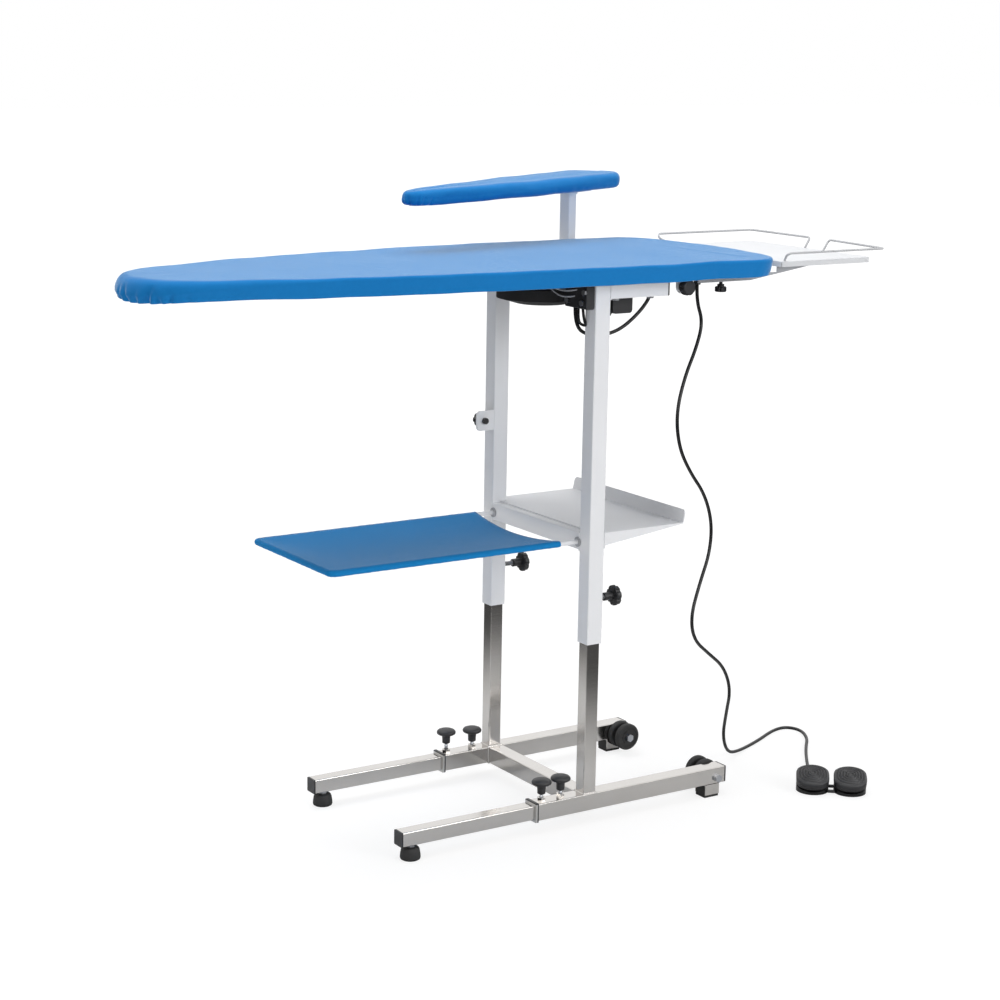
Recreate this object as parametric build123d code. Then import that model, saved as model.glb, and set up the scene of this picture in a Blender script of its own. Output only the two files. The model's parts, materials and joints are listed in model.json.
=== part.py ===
from build123d import *
import math
import os

os.makedirs("parts", exist_ok=True)

# Professional ironing table with a vacuum board, a sleeve board, an iron rest, a boiler tray,
# a cloth rack and a pair of foot switches. Millimetres, +Z up, +X from the nose to the iron rest,
# +Y away from the person who irons. The two posts stand at x = 0 while the pieces are made.

# Square tubes and sheet
outer_tube = 30.0
outer_wall = 2.4
slide_gap = 0.1
inner_tube = outer_tube - 2 * outer_wall - 2 * slide_gap
inner_wall = 2.0
tube_corner = 2.0
bore_corner = 0.6
sheet = 2.0
air = 0.3
turn_gap = 0.05

# Base
post_spacing = 300.0
rail_length = 400.0
rail_mouth = -107.6
rail_bottom = 24.0
extension_reach = 262.0
extension_inside = 110.0
lower_post_length = 506.0
collar_lip = 2.2
collar_thickness = 5.0
cap_flange = 3.0
cap_plug = 14.0
channel_length = 30.0
channel_inset = 11.0
pad_proud = 5.0
wheel_diameter = 50.0
wheel_width = 33.0
wheel_disc = 11.5
wheel_hub = 20.0
axle_diameter = 8.0
axle_inset = 16.0
axle_height = 34.0
foot_inset = 20.6
foot_bottom_diameter = 41.0
foot_top_diameter = 33.0
foot_height = 17.0
stem_diameter = 8.0
nut_width = 13.0
nut_height = 6.0
near_knob_offsets = (16.0, 55.0)
far_knob_offsets = (11.0, 66.0)

# Upper frame
upper_bottom = 319.0
post_top = 932.0
arm_length = 117.0
crossbar_top = 508.0
near_height_knob_z = 395.0
far_height_knob_z = 389.0
near_stud_shown = 5.5
far_stud_shown = 18.0
boss_diameter = 18.0
boss_tip_diameter = 11.0
lug_size = 35.0
lug_thickness = 4.0
lug_z = 657.5
bolt_diameter = 6.0
bolt_head = 11.0
bolt_head_height = 4.0
front_bolt_inset = 20.0
rear_bolt_inset = 26.0

# Board
board_top = 961.0
board_nose = 774.0
board_tail = 366.0
board_half_width = 218.0
board_nose_radius = 120.0
board_widest = 30.0
board_corner_radius = 60.0
board_tail_radius = 600.0
cover_height = 30.5
cover_thickness = 1.8
cover_edge = 10.0
cover_lip = 34.0
pan_wall = 1.5
pan_rim_inset = 10.0
pan_floor_inset = 48.0
pan_flange_z = 940.0
pan_rim_z = 950.0
plate_thickness = 1.5
vent_diameter = 9.0
vent_pitch = 62.0
heater_diameter = 8.0
heater_half_width = 82.0
heater_bend = 34.0
saddle_length = 12.0
saddle_width = 14.0

# Fan under the board
fan_diameter = 154.0
fan_flat_diameter = 90.0
fan_bottom = 880.0
fan_cone = 9.0
fan_height = 28.0
fan_wall = 2.5
fan_x = -10.0
neck_diameter = 92.0
rotor_diameter = 116.0
rotor_disc = 2.0
blade_height = 9.0
blade_thickness = 1.6
blade_count = 10
motor_diameter = 70.0
motor_height = 8.0
shaft_diameter = 8.0
shaft_step = 3.0
vent_count = 12
fan_vent_diameter = 7.0

# Fan bracket and control box
bracket_depth = 16.0
bracket_width = 61.0
bracket_bottom = 886.0
bracket_wall = 3.0
bracket_setback = 4.0
bracket_bolt_head = 9.0
bracket_bolt_height = 3.5
bracket_bolts = ((12.0, 10.0), (53.0, 11.0), (5.0, 28.0))
box_front = 45.0
box_length = 40.0
box_inset = 20.0
box_width = 53.0
box_bottom = 872.0
box_corner = 6.0

# Boiler tray
tray_rear = 181.0
tray_lap = 13.0
tray_lip = 22.0
tray_lip_lean = 12.0
tray_lip_corner = 8.0
tray_gusset = 20.0
tray_flange = 25.0
drain_diameter = 5.0
drain_inset = 8.0
drain_from_side = 26.0

# Cloth rack
rack_rod = 8.0
rack_half_width = 131.0
rack_front = 486.0
rack_rear = 42.0
rack_bend = 24.0
cloth_rear = 53.0
cloth_thickness = 1.6
bush_diameter = 13.0

# Iron rest
iron_front = 374.0
iron_rear = 579.0
iron_half_width = 165.0
iron_top = 949.0
iron_lip = 10.0
iron_corner = 8.0
runner_inset = 15.0
runner_front = 205.0
runner_level = 113.0
runner_wedge = 84.0
runner_tip = 5.0
runner_bottom = 918.0
runner_flange = 12.0
guide_start = 10.0
guide_length = 90.0
guide_knob = 55.0
guide_boss = 5.0
guard_rod = 4.0
guard_bend = 7.0
guard_rise = 19.0
guard_out = 11.0
guard_inset = 6.0
guard_reach = 26.0
near_guard_drop = 4.0
near_guard_gap = 45.0

# Sleeve board
sleeve_x = 214.0
sleeve_y = 251.0
sleeve_yaw = 19.0
sleeve_droop = 1.2
sleeve_ahead = 455.0
sleeve_behind = 110.0
sleeve_half_width = 58.0
sleeve_nose_radius = 24.0
sleeve_widest = 40.0
sleeve_corner_radius = 40.0
sleeve_tail_radius = 140.0
sleeve_bottom = 1049.0
sleeve_thickness = 27.0
sleeve_tube = 22.0
sleeve_plate_inset = 13.0
sleeve_top_edge = 11.0
sleeve_low_edge = 9.0
mount_width = 64.0
mount_corner = 8.0
mount_thickness = 4.0
collar_width = 27.0
collar_height = 6.0
collar_corner = 5.0
thrust_diameter = 34.0
thrust_height = 3.0
pivot_diameter = 18.0
pivot_length = 42.0
socket_height = 36.0
socket_wall = 8.0
socket_drop = 2.0
sleeve_bar_height = 24.0
sleeve_bar_thickness = 10.0
sleeve_bar_width = 26.0
sleeve_bar_front = 50.0

# Foot switches and cords
pedal_left = (447.0, -226.0)
pedal_right = (499.0, -268.0)
pedal_base_diameter = 58.0
pedal_base_height = 12.0
pedal_cap_diameter = 64.0
pedal_cap_height = 17.0
pedal_tilt = 14.0
pedal_travel = 5.0
pedal_stem = 16.0
pedal_grip = 1.0
pedal_hollow = 10.0
pedal_groove = 1.1
link_diameter = 6.0
link_offset = 14.0
link_z = 4.0
socket_diameter = 10.0
socket_length = 8.0
socket_z = 6.0
socket_lead = 48.0
cord_diameter = 6.0
cord_start = (226.0, -122.0, 912.0)
gland_diameter = 12.0
gland_flange = 17.0
gland_flange_height = 6.0
fan_cable_y = -118.0

# Knobs: head diameter and height, hub diameter and height, lobes
rail_knob_size = (34.0, 14.0, 14.0, 15.0, 0)
height_knob_size = (35.0, 9.0, 14.0, 18.0, 7)
lug_knob_size = (25.0, 12.0, 14.0, 5.0, 6)
iron_knob_size = (20.0, 9.0, 12.0, 4.0, 8)
arm_knob_size = (27.0, 15.0, 15.0, 6.0, 8)
rail_stud_shown = 4.0
iron_stud_shown = 7.0
stud_past_plate = 8.0
lug_nut_height = 5.0

# Hanging bracket behind the near arm
hanger_gap = 14.0
hanger_width = 24.0
hanger_depth = 22.0
hanger_drop = 16.0

# Places that follow from the sizes above
half = post_spacing / 2
rail_mid = rail_bottom + outer_tube / 2
rail_top = rail_bottom + outer_tube
rail_rear = rail_mouth + rail_length
face = outer_tube / 2
extension_front = rail_mouth - extension_reach
lower_post_top = rail_top + lower_post_length
arm_mid = post_top - outer_tube / 2
arm_end = face + arm_length
crossbar_mid = crossbar_top - outer_tube / 2
cover_bottom = board_top - cover_height
plate_top = pan_rim_z + plate_thickness
iron_floor = iron_top - sheet
rack_z = crossbar_mid - 1.5
tray_half_width = half + face
runner_half_spacing = iron_half_width - runner_inset
bolt_places = (face + front_bolt_inset, arm_end - rear_bolt_inset)

nodes = {}


def block(x, y, z):
    """Box between the low and high values of each axis."""
    size = [high - low for low, high in (x, y, z)]
    middle = [(high + low) / 2 for low, high in (x, y, z)]
    return Pos(*middle) * Box(*size)


def rod(start, end, diameter):
    """Round bar between two points."""
    along = Vector(*end) - Vector(*start)
    return extrude(Plane(start, z_dir=along) * Circle(diameter / 2), along.length)


def square_tube(start, end, size, wall, corner=bore_corner):
    """Square tube with rounded corners between two points on one axis."""
    along = Vector(*end) - Vector(*start)
    across = (0, 1, 0) if abs(along.X) > abs(along.Y) else (1, 0, 0)
    bore = size - 2 * wall
    section = RectangleRounded(size, size, tube_corner) - RectangleRounded(bore, bore, corner)
    return extrude(Plane(start, x_dir=across, z_dir=along) * section, along.length)


def bent_rod(points, bend, diameter):
    """Round bar along straight runs with bends of one radius."""
    path = FilletPolyline(*points, radius=bend)
    return sweep(Plane(path @ 0, z_dir=path % 0) * Circle(diameter / 2), path)


def hexagon(start, end, width):
    """Hexagon bar between two points, as a nut or a bolt head."""
    along = Vector(*end) - Vector(*start)
    section = RegularPolygon(width / 2, 6, major_radius=False)
    return extrude(Plane(start, z_dir=along) * section, along.length)


def clamp_knob(size, stud, stud_length):
    """Moulded knob on a stud: the hub stands on z = 0 and the stud goes down."""
    head, head_height, hub, hub_height, lobes = size
    body = Pos(0, 0, hub_height + head_height / 2) * Cylinder(head / 2, head_height)
    body = fillet(body.edges().filter_by(GeomType.CIRCLE), head_height * 0.24)
    if lobes:
        scallop = head * math.pi / lobes / 3.4
        cutter = Pos(head / 2 + scallop * 0.35, 0, hub_height + head_height / 2)
        body -= PolarLocations(0, lobes) * (cutter * Cylinder(scallop, head_height))
    body += Pos(0, 0, hub_height / 2) * Cylinder(hub / 2, hub_height)
    body += Pos(0, 0, -stud_length / 2) * Cylinder(stud / 2, stud_length)
    return body


def seat(shape, origin, axis):
    """Stand a piece that was made along +Z on a point, along an axis."""
    return Plane(origin, z_dir=axis).location * shape


def tapered_outline(nose, tail, half_width, nose_radius, widest, corner_radius, tail_radius, inset):
    """Board seen from above, of tangent arcs: a round nose, long bowed sides and a bowed tail.

    Every arc shrinks by the inset round its own centre, so the inset edge stays parallel."""
    nose_x = nose_radius - nose
    run = widest - nose_x
    side_radius = (run ** 2 + half_width ** 2 - nose_radius ** 2) / (2 * (half_width - nose_radius))
    side_y = half_width - side_radius
    nose_turn = math.degrees(math.atan2(-side_y, nose_x - widest))
    tail_x = tail - tail_radius
    corner_y = half_width - corner_radius
    corner_x = tail_x + math.sqrt((tail_radius - corner_radius) ** 2 - corner_y ** 2)
    tail_turn = math.degrees(math.atan2(corner_y, corner_x - tail_x))
    edges = [
        CenterArc((nose_x, 0), nose_radius - inset, 180, nose_turn - 180),
        CenterArc((widest, side_y), side_radius - inset, nose_turn, 90 - nose_turn),
        Line((widest, half_width - inset), (corner_x, half_width - inset)),
        CenterArc((corner_x, corner_y), corner_radius - inset, 90, tail_turn - 90),
        CenterArc((tail_x, 0), tail_radius - inset, tail_turn, -tail_turn),
    ]
    edges += [mirror(edge, Plane.XZ) for edge in edges]
    return make_face(edges)


def layer(shape, low, high):
    """Flat face raised between two heights."""
    return extrude(Pos(0, 0, low) * shape, high - low)


def make_base():
    """Welded rails, cross beam and lower posts, with their plugs, feet and wheels."""
    frame = square_tube((0, face - half, rail_mid), (0, half - face, rail_mid), outer_tube, outer_wall)
    collars = []
    caps = []
    channels = []
    pads = []
    axles = []
    plug = outer_tube - 2 * outer_wall - 2 * turn_gap
    for side, offsets in ((-1, near_knob_offsets), (1, far_knob_offsets)):
        y = side * half
        frame += square_tube((rail_mouth, y, rail_mid), (rail_rear, y, rail_mid), outer_tube, outer_wall)
        frame += square_tube((0, y, rail_top), (0, y, lower_post_top), inner_tube, inner_wall)
        for place in offsets:
            x = rail_mouth + place
            frame += hexagon((x, y, rail_top), (x, y, rail_top + nut_height), nut_width)
            frame -= rod((x, y, rail_mid), (x, y, rail_top + nut_height), stem_diameter + 2 * turn_gap)
        collar_half = outer_tube / 2 + collar_lip
        collar = block(
            (rail_mouth - collar_thickness, rail_mouth),
            (y - collar_half, y + collar_half),
            (rail_mid - collar_half, rail_mid + collar_half),
        )
        collar = fillet(collar.edges().filter_by(Axis.X), tube_corner)
        opening = inner_tube + 2 * slide_gap
        collar -= Pos(rail_mouth - collar_thickness / 2, y, rail_mid) * Box(
            collar_thickness, opening, opening
        )
        collars.append(collar)
        flange = Pos(rail_rear + cap_flange / 2, y, rail_mid) * Box(cap_flange, outer_tube, outer_tube)
        flange = fillet(flange.edges().filter_by(Axis.X), tube_corner)
        stub = Pos(rail_rear - cap_plug / 2, y, rail_mid) * Box(cap_plug, plug, plug)
        axle_x = rail_rear - axle_inset
        caps.append(flange + fillet(stub.edges().filter_by(Axis.X), bore_corner + turn_gap))
        channel_rear = rail_rear - channel_inset
        channel_x = (channel_rear - channel_length, channel_rear)
        channel = block(channel_x, (y - face, y + face), (pad_proud, rail_bottom))
        pad_half = face - sheet
        channel -= block(channel_x, (y - pad_half, y + pad_half), (pad_proud, rail_bottom - sheet))
        channels.append(channel)
        pads.append(block(channel_x, (y - pad_half, y + pad_half), (0, rail_bottom - sheet)))
        outside = y + side * face
        inside = y - side * face
        end = inside - side * (wheel_width + 2 * air)
        axle = rod((axle_x, outside, axle_height), (axle_x, end, axle_height), axle_diameter)
        head_end = outside + side * nut_height
        axle += hexagon((axle_x, outside, axle_height), (axle_x, head_end, axle_height), nut_width)
        nut_end = end - side * nut_height
        axle += hexagon((axle_x, end, axle_height), (axle_x, nut_end, axle_height), nut_width)
        axles.append(axle)
        hole = axle_diameter + 2 * turn_gap
        frame -= rod((axle_x, outside, axle_height), (axle_x, inside, axle_height), hole)
        caps[-1] -= rod((axle_x, outside, axle_height), (axle_x, inside, axle_height), hole)
        nodes["wheel_near" if side < 0 else "wheel_far"] = make_wheel(axle_x, inside, -side)
    nodes["base_frame"] = frame
    nodes["rail_collars"] = Compound(collars)
    nodes["rail_end_caps"] = Compound(caps)
    nodes["rear_channels"] = Compound(channels)
    nodes["rear_pads"] = Compound(pads)
    nodes["wheel_axles"] = Compound(axles)


def make_wheel(x, rail_face, inward):
    """Twin-disc transport wheel that turns on its axle beside the rail."""
    radius = wheel_diameter / 2
    disc = Pos(0, 0, wheel_disc / 2) * Cylinder(radius, wheel_disc)
    disc = fillet(disc.edges().filter_by(GeomType.CIRCLE), wheel_disc * 0.3)
    groove = Pos(0, 0, 0) * (Cylinder(radius * 0.74, 2.4) - Cylinder(radius * 0.5, 2.4))
    disc -= groove
    other = Pos(0, 0, wheel_width) * Rot(180, 0, 0) * disc
    wheel = disc + other + Pos(0, 0, wheel_width / 2) * Cylinder(wheel_hub / 2, wheel_width)
    wheel -= Pos(0, 0, wheel_width / 2) * Cylinder(axle_diameter / 2 + turn_gap, wheel_width)
    return seat(wheel, (x, rail_face + inward * air, axle_height), (0, inward, 0))


def make_extensions():
    """Sliding rail ends with a plug, a levelling foot and two clamp knobs each."""
    tube_bottom = rail_mid - inner_tube / 2
    tube_top = rail_mid + inner_tube / 2
    foot_x = extension_front + foot_inset
    for side, word, offsets in ((-1, "near", near_knob_offsets), (1, "far", far_knob_offsets)):
        y = side * half
        tail = rail_mouth + extension_inside
        tube = square_tube((extension_front, y, rail_mid), (tail, y, rail_mid), inner_tube, inner_wall)
        hole = stem_diameter + 2 * turn_gap
        tube -= rod((foot_x, y, tube_bottom), (foot_x, y, rail_mid), hole)
        nodes[f"extension_{word}"] = tube
        bore = inner_tube - 2 * inner_wall - 2 * turn_gap
        cap = Pos(extension_front - cap_flange / 2, y, rail_mid) * Box(cap_flange, inner_tube, inner_tube)
        cap = fillet(cap.edges().filter_by(Axis.X), tube_corner)
        stub_length = foot_inset - nut_width
        stub = Pos(extension_front + stub_length / 2, y, rail_mid) * Box(stub_length, bore, bore)
        nodes[f"extension_cap_{word}"] = cap + fillet(stub.edges().filter_by(Axis.X), bore_corner + turn_gap)
        profile = Polyline(
            (0, 0),
            (foot_bottom_diameter / 2, 0),
            (foot_bottom_diameter / 2, foot_height * 0.22),
            (foot_top_diameter / 2, foot_height * 0.75),
            (foot_top_diameter / 2 - 3, foot_height),
            (0, foot_height),
            close=True,
        )
        foot = revolve(Plane.XZ * make_face(profile), Axis.Z)
        foot += hexagon((0, 0, foot_height), (0, 0, foot_height + nut_height), nut_width)
        foot += rod((0, 0, foot_height), (0, 0, rail_mid), stem_diameter)
        nodes[f"levelling_foot_{word}"] = Pos(foot_x, y, 0) * foot
        for place, end in zip(offsets, ("front", "rear")):
            stud = rail_top + nut_height + air - tube_top - turn_gap
            knob = clamp_knob(rail_knob_size, stem_diameter, stud + rail_stud_shown)
            x = rail_mouth + place
            base = rail_top + nut_height + air + rail_stud_shown
            nodes[f"rail_knob_{word}_{end}"] = seat(knob, (x, y, base), (0, 0, 1))


def make_upper_frame():
    """Posts, crossbar, rearward arms, bosses and lug that are welded together, with plugs and bolts."""
    crossbar = square_tube(
        (0, face - half, crossbar_mid), (0, half - face, crossbar_mid), outer_tube, outer_wall
    )
    posts = []
    arms = []
    bosses = []
    caps = []
    bolts = []
    plug = outer_tube - 2 * outer_wall - 2 * turn_gap
    knob_hole = stem_diameter + 2 * turn_gap
    height_knobs = (
        (-1, "near", near_height_knob_z, near_stud_shown),
        (1, "far", far_height_knob_z, far_stud_shown),
    )
    for side, word, knob_z, stud_shown in height_knobs:
        y = side * half
        post = square_tube((0, y, upper_bottom), (0, y, post_top), outer_tube, outer_wall)
        arm = square_tube((face, y, arm_mid), (arm_end, y, arm_mid), outer_tube, outer_wall)
        boss_end = face + nut_height
        boss = Pos(0, 0, nut_height / 2) * Cone(boss_diameter / 2, boss_tip_diameter / 2, nut_height)
        knob_bore = rod((inner_tube / 2, y, knob_z), (boss_end, y, knob_z), knob_hole)
        bosses.append(seat(boss, (face, y, knob_z), (1, 0, 0)) - knob_bore)
        post -= knob_bore
        flange = Pos(arm_end + cap_flange / 2, y, arm_mid) * Box(cap_flange, outer_tube, outer_tube)
        flange = fillet(flange.edges().filter_by(Axis.X), tube_corner)
        stub = Pos(arm_end - cap_plug / 2, y, arm_mid) * Box(cap_plug, plug, plug)
        caps.append(flange + fillet(stub.edges().filter_by(Axis.X), bore_corner + turn_gap))
        for x in bolt_places:
            start = post_top - outer_tube
            top = post_top + pan_wall
            arm -= rod((x, y, start), (x, y, post_top), bolt_diameter + 2 * turn_gap)
            bolt = rod((x, y, start), (x, y, top + bolt_head_height), bolt_diameter)
            bolt += hexagon((x, y, start - bolt_head_height), (x, y, start), bolt_head)
            bolt += hexagon((x, y, top), (x, y, top + bolt_head_height), bolt_head)
            bolts.append(bolt)
        hub_x = boss_end + air + stud_shown
        knob = clamp_knob(height_knob_size, stem_diameter, hub_x - inner_tube / 2 - turn_gap)
        nodes[f"height_knob_{word}"] = seat(knob, (hub_x, y, knob_z), (1, 0, 0))
        bush_y = side * rack_half_width
        bush_bore = rod((-face, bush_y, rack_z), (face, bush_y, rack_z), bush_diameter + 2 * turn_gap)
        posts.append(post - bush_bore)
        crossbar -= bush_bore
        arms.append(arm)
    lug_y = half - face
    lug = block(
        (-face - lug_size, -face), (lug_y, lug_y + lug_thickness), (lug_z - lug_size / 2, lug_z + lug_size / 2)
    )
    lug = fillet(lug.edges().filter_by(Axis.Y).group_by(Axis.X)[0], lug_size * 0.22)
    lug_x = -face - lug_size * 0.55
    lug -= rod((lug_x, lug_y, lug_z), (lug_x, lug_y + lug_thickness, lug_z), knob_hole)
    nodes["upper_frame"] = Compound([*posts, crossbar, *arms, *bosses, lug])
    nodes["arm_end_caps"] = Compound(caps)
    nodes["board_bolts"] = Compound(bolts)
    grip = lug_thickness + 2 * air
    lug_knob = clamp_knob(lug_knob_size, stem_diameter, grip)
    lug_knob += Pos(0, 0, -grip - lug_nut_height / 2) * Cylinder(bolt_head / 2, lug_nut_height)
    nodes["lug_knob"] = seat(lug_knob, (lug_x, lug_y + lug_thickness + air, lug_z), (0, 1, 0))


def make_boiler_tray():
    """Folded sheet tray behind the crossbar, with a leaning rear lip and gussets down its sides."""
    low = crossbar_top
    high = low + sheet
    tongue_half = half - face - air
    width = (-tray_half_width, tray_half_width)
    tray = block((face, tray_rear), width, (low, high))
    tray += block((face - tray_lap, face), (-tongue_half, tongue_half), (low, high))
    lip = block((-sheet, 0), width, (0, sheet + tray_lip))
    lip = fillet(lip.edges().filter_by(Axis.X).group_by(Axis.Z)[-1], tray_lip_corner)
    tray += Pos(tray_rear, 0, low) * Rot(0, tray_lip_lean, 0) * lip
    drain_x = tray_rear - drain_inset
    drain_y = drain_from_side - tray_half_width
    tray -= rod((drain_x, drain_y, low), (drain_x, drain_y, high), drain_diameter)
    for side in (-1, 1):
        outside = side * tray_half_width
        tray += make_gusset(outside, side, low)
        bush_edge = rack_half_width + bush_diameter / 2 + air
        flange_y = tuple(sorted((outside, side * bush_edge)))
        tray += block((face, face + sheet), flange_y, (low - tray_flange, low))
    nodes["boiler_tray"] = tray


def make_gusset(outside, side, top):
    """Triangular side plate below the boiler tray."""
    corners = [(face, top), (tray_rear - sheet, top), (face, top - tray_gusset)]
    outline = Polyline(*[(x, outside, z) for x, z in corners], close=True)
    return extrude(make_face(outline), sheet, dir=(0, -side, 0))


def make_board():
    """Vacuum pan, perforated plate, heater, felt and cotton cover, from the bottom up."""
    def outline(inset):
        return tapered_outline(
            board_nose,
            board_tail,
            board_half_width,
            board_nose_radius,
            board_widest,
            board_corner_radius,
            board_tail_radius,
            inset,
        )

    tub = layer(outline(pan_floor_inset), post_top, pan_rim_z)
    tub += layer(outline(pan_rim_inset), pan_flange_z, pan_rim_z)
    tub -= layer(outline(pan_floor_inset + pan_wall), post_top + pan_wall, pan_rim_z)
    tub -= layer(outline(pan_rim_inset + pan_wall), pan_flange_z + pan_wall, pan_rim_z)
    for side in (-1, 1):
        for x in bolt_places:
            start = (x, side * half, post_top)
            tub -= rod(start, (x, side * half, post_top + pan_wall), bolt_diameter + 2 * turn_gap)
    neck_hole = neck_diameter - 2 * fan_wall
    tub -= rod((fan_x, 0, post_top), (fan_x, 0, post_top + pan_wall), neck_hole)
    nodes["vacuum_pan"] = tub
    plate = layer(outline(pan_rim_inset), pan_rim_z, plate_top)
    columns = int((board_nose + board_tail) * 0.8 / vent_pitch)
    vents = GridLocations(vent_pitch, vent_pitch, columns, 3)
    shift = Pos((board_tail - board_nose) / 2 + vent_pitch / 2, 0, pan_rim_z + plate_thickness / 2)
    plate -= shift * vents * Cylinder(vent_diameter / 2, plate_thickness)
    nodes["perforated_plate"] = plate
    heater_z = (pan_flange_z + pan_rim_z) / 2 - sheet
    heater = [
        (-0.55 * board_nose, -heater_half_width, heater_z),
        (0.5 * board_tail, -heater_half_width, heater_z),
        (0.5 * board_tail, heater_half_width, heater_z),
        (-0.55 * board_nose, heater_half_width, heater_z),
    ]
    nodes["heating_element"] = bent_rod(heater, heater_bend, heater_diameter)
    saddles = []
    saddle_low = post_top + pan_wall
    saddle_height = heater_z - heater_diameter / 2 - saddle_low
    for x in (-0.4 * board_nose, 0.3 * board_tail):
        for side in (-1, 1):
            middle = Pos(x, side * heater_half_width, saddle_low + saddle_height / 2)
            saddles.append(middle * Box(saddle_length, saddle_width, saddle_height))
    nodes["heater_saddles"] = Compound(saddles)
    felt_top = board_top - cover_thickness - air
    felt = layer(outline(cover_thickness + 2.2), plate_top, felt_top)
    top_rim = felt.edges().group_by(Axis.Z)[-1]
    nodes["felt_pad"] = fillet(top_rim, (felt_top - plate_top) * 0.8)
    cover = layer(outline(0), cover_bottom, board_top)
    cover = fillet(cover.edges().group_by(Axis.Z)[-1], cover_edge)
    cover = fillet(cover.edges().group_by(Axis.Z)[0], cover_edge * 0.3)
    inner = layer(outline(cover_thickness), cover_bottom + cover_thickness, board_top - cover_thickness)
    inner = fillet(inner.edges().group_by(Axis.Z)[-1], cover_edge - cover_thickness)
    cover -= inner
    cover -= layer(outline(cover_lip), cover_bottom, cover_bottom + cover_thickness)
    nodes["board_cover"] = cover


def dish(low, high, cone, flat_diameter, diameter):
    """Turned dish: a flat middle, a shallow cone and an upright rim."""
    profile = Polyline(
        (0, low),
        (flat_diameter / 2, low),
        (diameter / 2, low + cone),
        (diameter / 2, high),
        (0, high),
        close=True,
    )
    return revolve(Plane.XZ * make_face(profile), Axis.Z)


def make_fan():
    """Suction fan below the pan: neck, drum, motor and rotor."""
    drum_top = fan_bottom + fan_height
    bore = neck_diameter - 2 * fan_wall
    neck = rod((0, 0, drum_top), (0, 0, post_top), neck_diameter)
    neck -= rod((0, 0, drum_top), (0, 0, post_top), bore)
    drum = dish(fan_bottom, drum_top, fan_cone, fan_flat_diameter, fan_diameter)
    hollow_low = fan_bottom + fan_wall
    drum -= dish(hollow_low, drum_top - fan_wall, fan_cone, fan_flat_diameter, fan_diameter - 2 * fan_wall)
    drum -= rod((0, 0, drum_top - fan_wall), (0, 0, drum_top), bore)
    vents = PolarLocations(0.42 * fan_flat_diameter, vent_count)
    drum -= Pos(0, 0, fan_bottom + fan_wall / 2) * vents * Cylinder(fan_vent_diameter / 2, fan_wall)
    motor_top = hollow_low + motor_height
    shaft_low = hollow_low + shaft_step
    motor = rod((0, 0, hollow_low), (0, 0, motor_top), motor_diameter)
    motor -= rod((0, 0, shaft_low), (0, 0, motor_top), shaft_diameter + 2 * turn_gap)
    rotor_low = motor_top + air
    blade_low = rotor_low + rotor_disc
    rotor = rod((0, 0, rotor_low), (0, 0, blade_low), rotor_diameter)
    blade = block(
        (0.2 * rotor_diameter, 0.48 * rotor_diameter),
        (-blade_thickness / 2, blade_thickness / 2),
        (blade_low, blade_low + blade_height),
    )
    rotor += PolarLocations(0, blade_count) * blade
    rotor += rod((0, 0, shaft_low + air), (0, 0, rotor_low), shaft_diameter)
    fan = (("fan_neck", neck), ("fan_drum", drum), ("fan_motor", motor), ("fan_rotor", rotor))
    for name, shape in fan:
        nodes[name] = Pos(fan_x, 0, 0) * shape


def make_fan_bracket():
    """Folded bracket on the near post with its bolts, and the control box behind the post."""
    front = -face - bracket_depth
    near = bracket_setback - half - face
    bracket = block((front, -face), (near, near + bracket_width), (bracket_bottom, post_top))
    bracket = fillet(bracket.edges().filter_by(Axis.Y), bracket_wall)
    bracket -= block(
        (front + bracket_wall, -face),
        (near + bracket_wall, near + bracket_width - bracket_wall),
        (bracket_bottom + bracket_wall, post_top - bracket_wall),
    )
    nodes["hinge_bracket"] = bracket
    bolts = []
    for across, up in bracket_bolts:
        y = near + across
        z = bracket_bottom + up
        bolts.append(hexagon((front - bracket_bolt_height, y, z), (front, y, z), bracket_bolt_head))
    nodes["bracket_bolts"] = Compound(bolts)
    box_near = box_inset - half
    control = block(
        (box_front, box_front + box_length), (box_near, box_near + box_width), (box_bottom, post_top)
    )
    low_edges = control.edges().filter_by(Axis.Y).group_by(Axis.Z)[0]
    nodes["control_box"] = fillet(low_edges, box_corner)


def make_rack():
    """Cloth rack: a bent rod that slides in bushes, with a hemmed cloth between its legs."""
    points = [
        (rack_rear, -rack_half_width, rack_z),
        (-rack_front, -rack_half_width, rack_z),
        (-rack_front, rack_half_width, rack_z),
        (rack_rear, rack_half_width, rack_z),
    ]
    nodes["rack_rod"] = bent_rod(points, rack_bend, rack_rod)
    bushes = []
    for side in (-1, 1):
        y = side * rack_half_width
        bush = rod((-face - 2, y, rack_z), (face + 2, y, rack_z), bush_diameter)
        bush += rod((-face - 2, y, rack_z), (-face, y, rack_z), bush_diameter + 4)
        bush -= rod((-face - 2, y, rack_z), (face + 2, y, rack_z), rack_rod + 2 * turn_gap)
        bushes.append(bush)
    nodes["rack_bushes"] = Compound(bushes)
    hem_bore = rack_rod + 2 * air
    hem = hem_bore + 2 * cloth_thickness
    front = -rack_front + rack_bend + air
    cloth = block(
        (front, -cloth_rear),
        (-rack_half_width, rack_half_width),
        (rack_z - cloth_thickness / 2, rack_z + cloth_thickness / 2),
    )
    straight = rack_half_width - rack_bend - air
    cloth += block(
        (-rack_front, front), (-straight, straight), (rack_z - cloth_thickness / 2, rack_z + cloth_thickness / 2)
    )
    cloth += rod((-rack_front, -straight, rack_z), (-rack_front, straight, rack_z), hem)
    for side in (-1, 1):
        y = side * rack_half_width
        cloth += rod((front, y, rack_z), (-cloth_rear, y, rack_z), hem)
        cloth -= rod((front - hem, y, rack_z), (-cloth_rear, y, rack_z), hem_bore)
    cloth -= rod((-rack_front, -half, rack_z), (-rack_front, half, rack_z), hem_bore)
    nodes["rack_cloth"] = cloth


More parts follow.
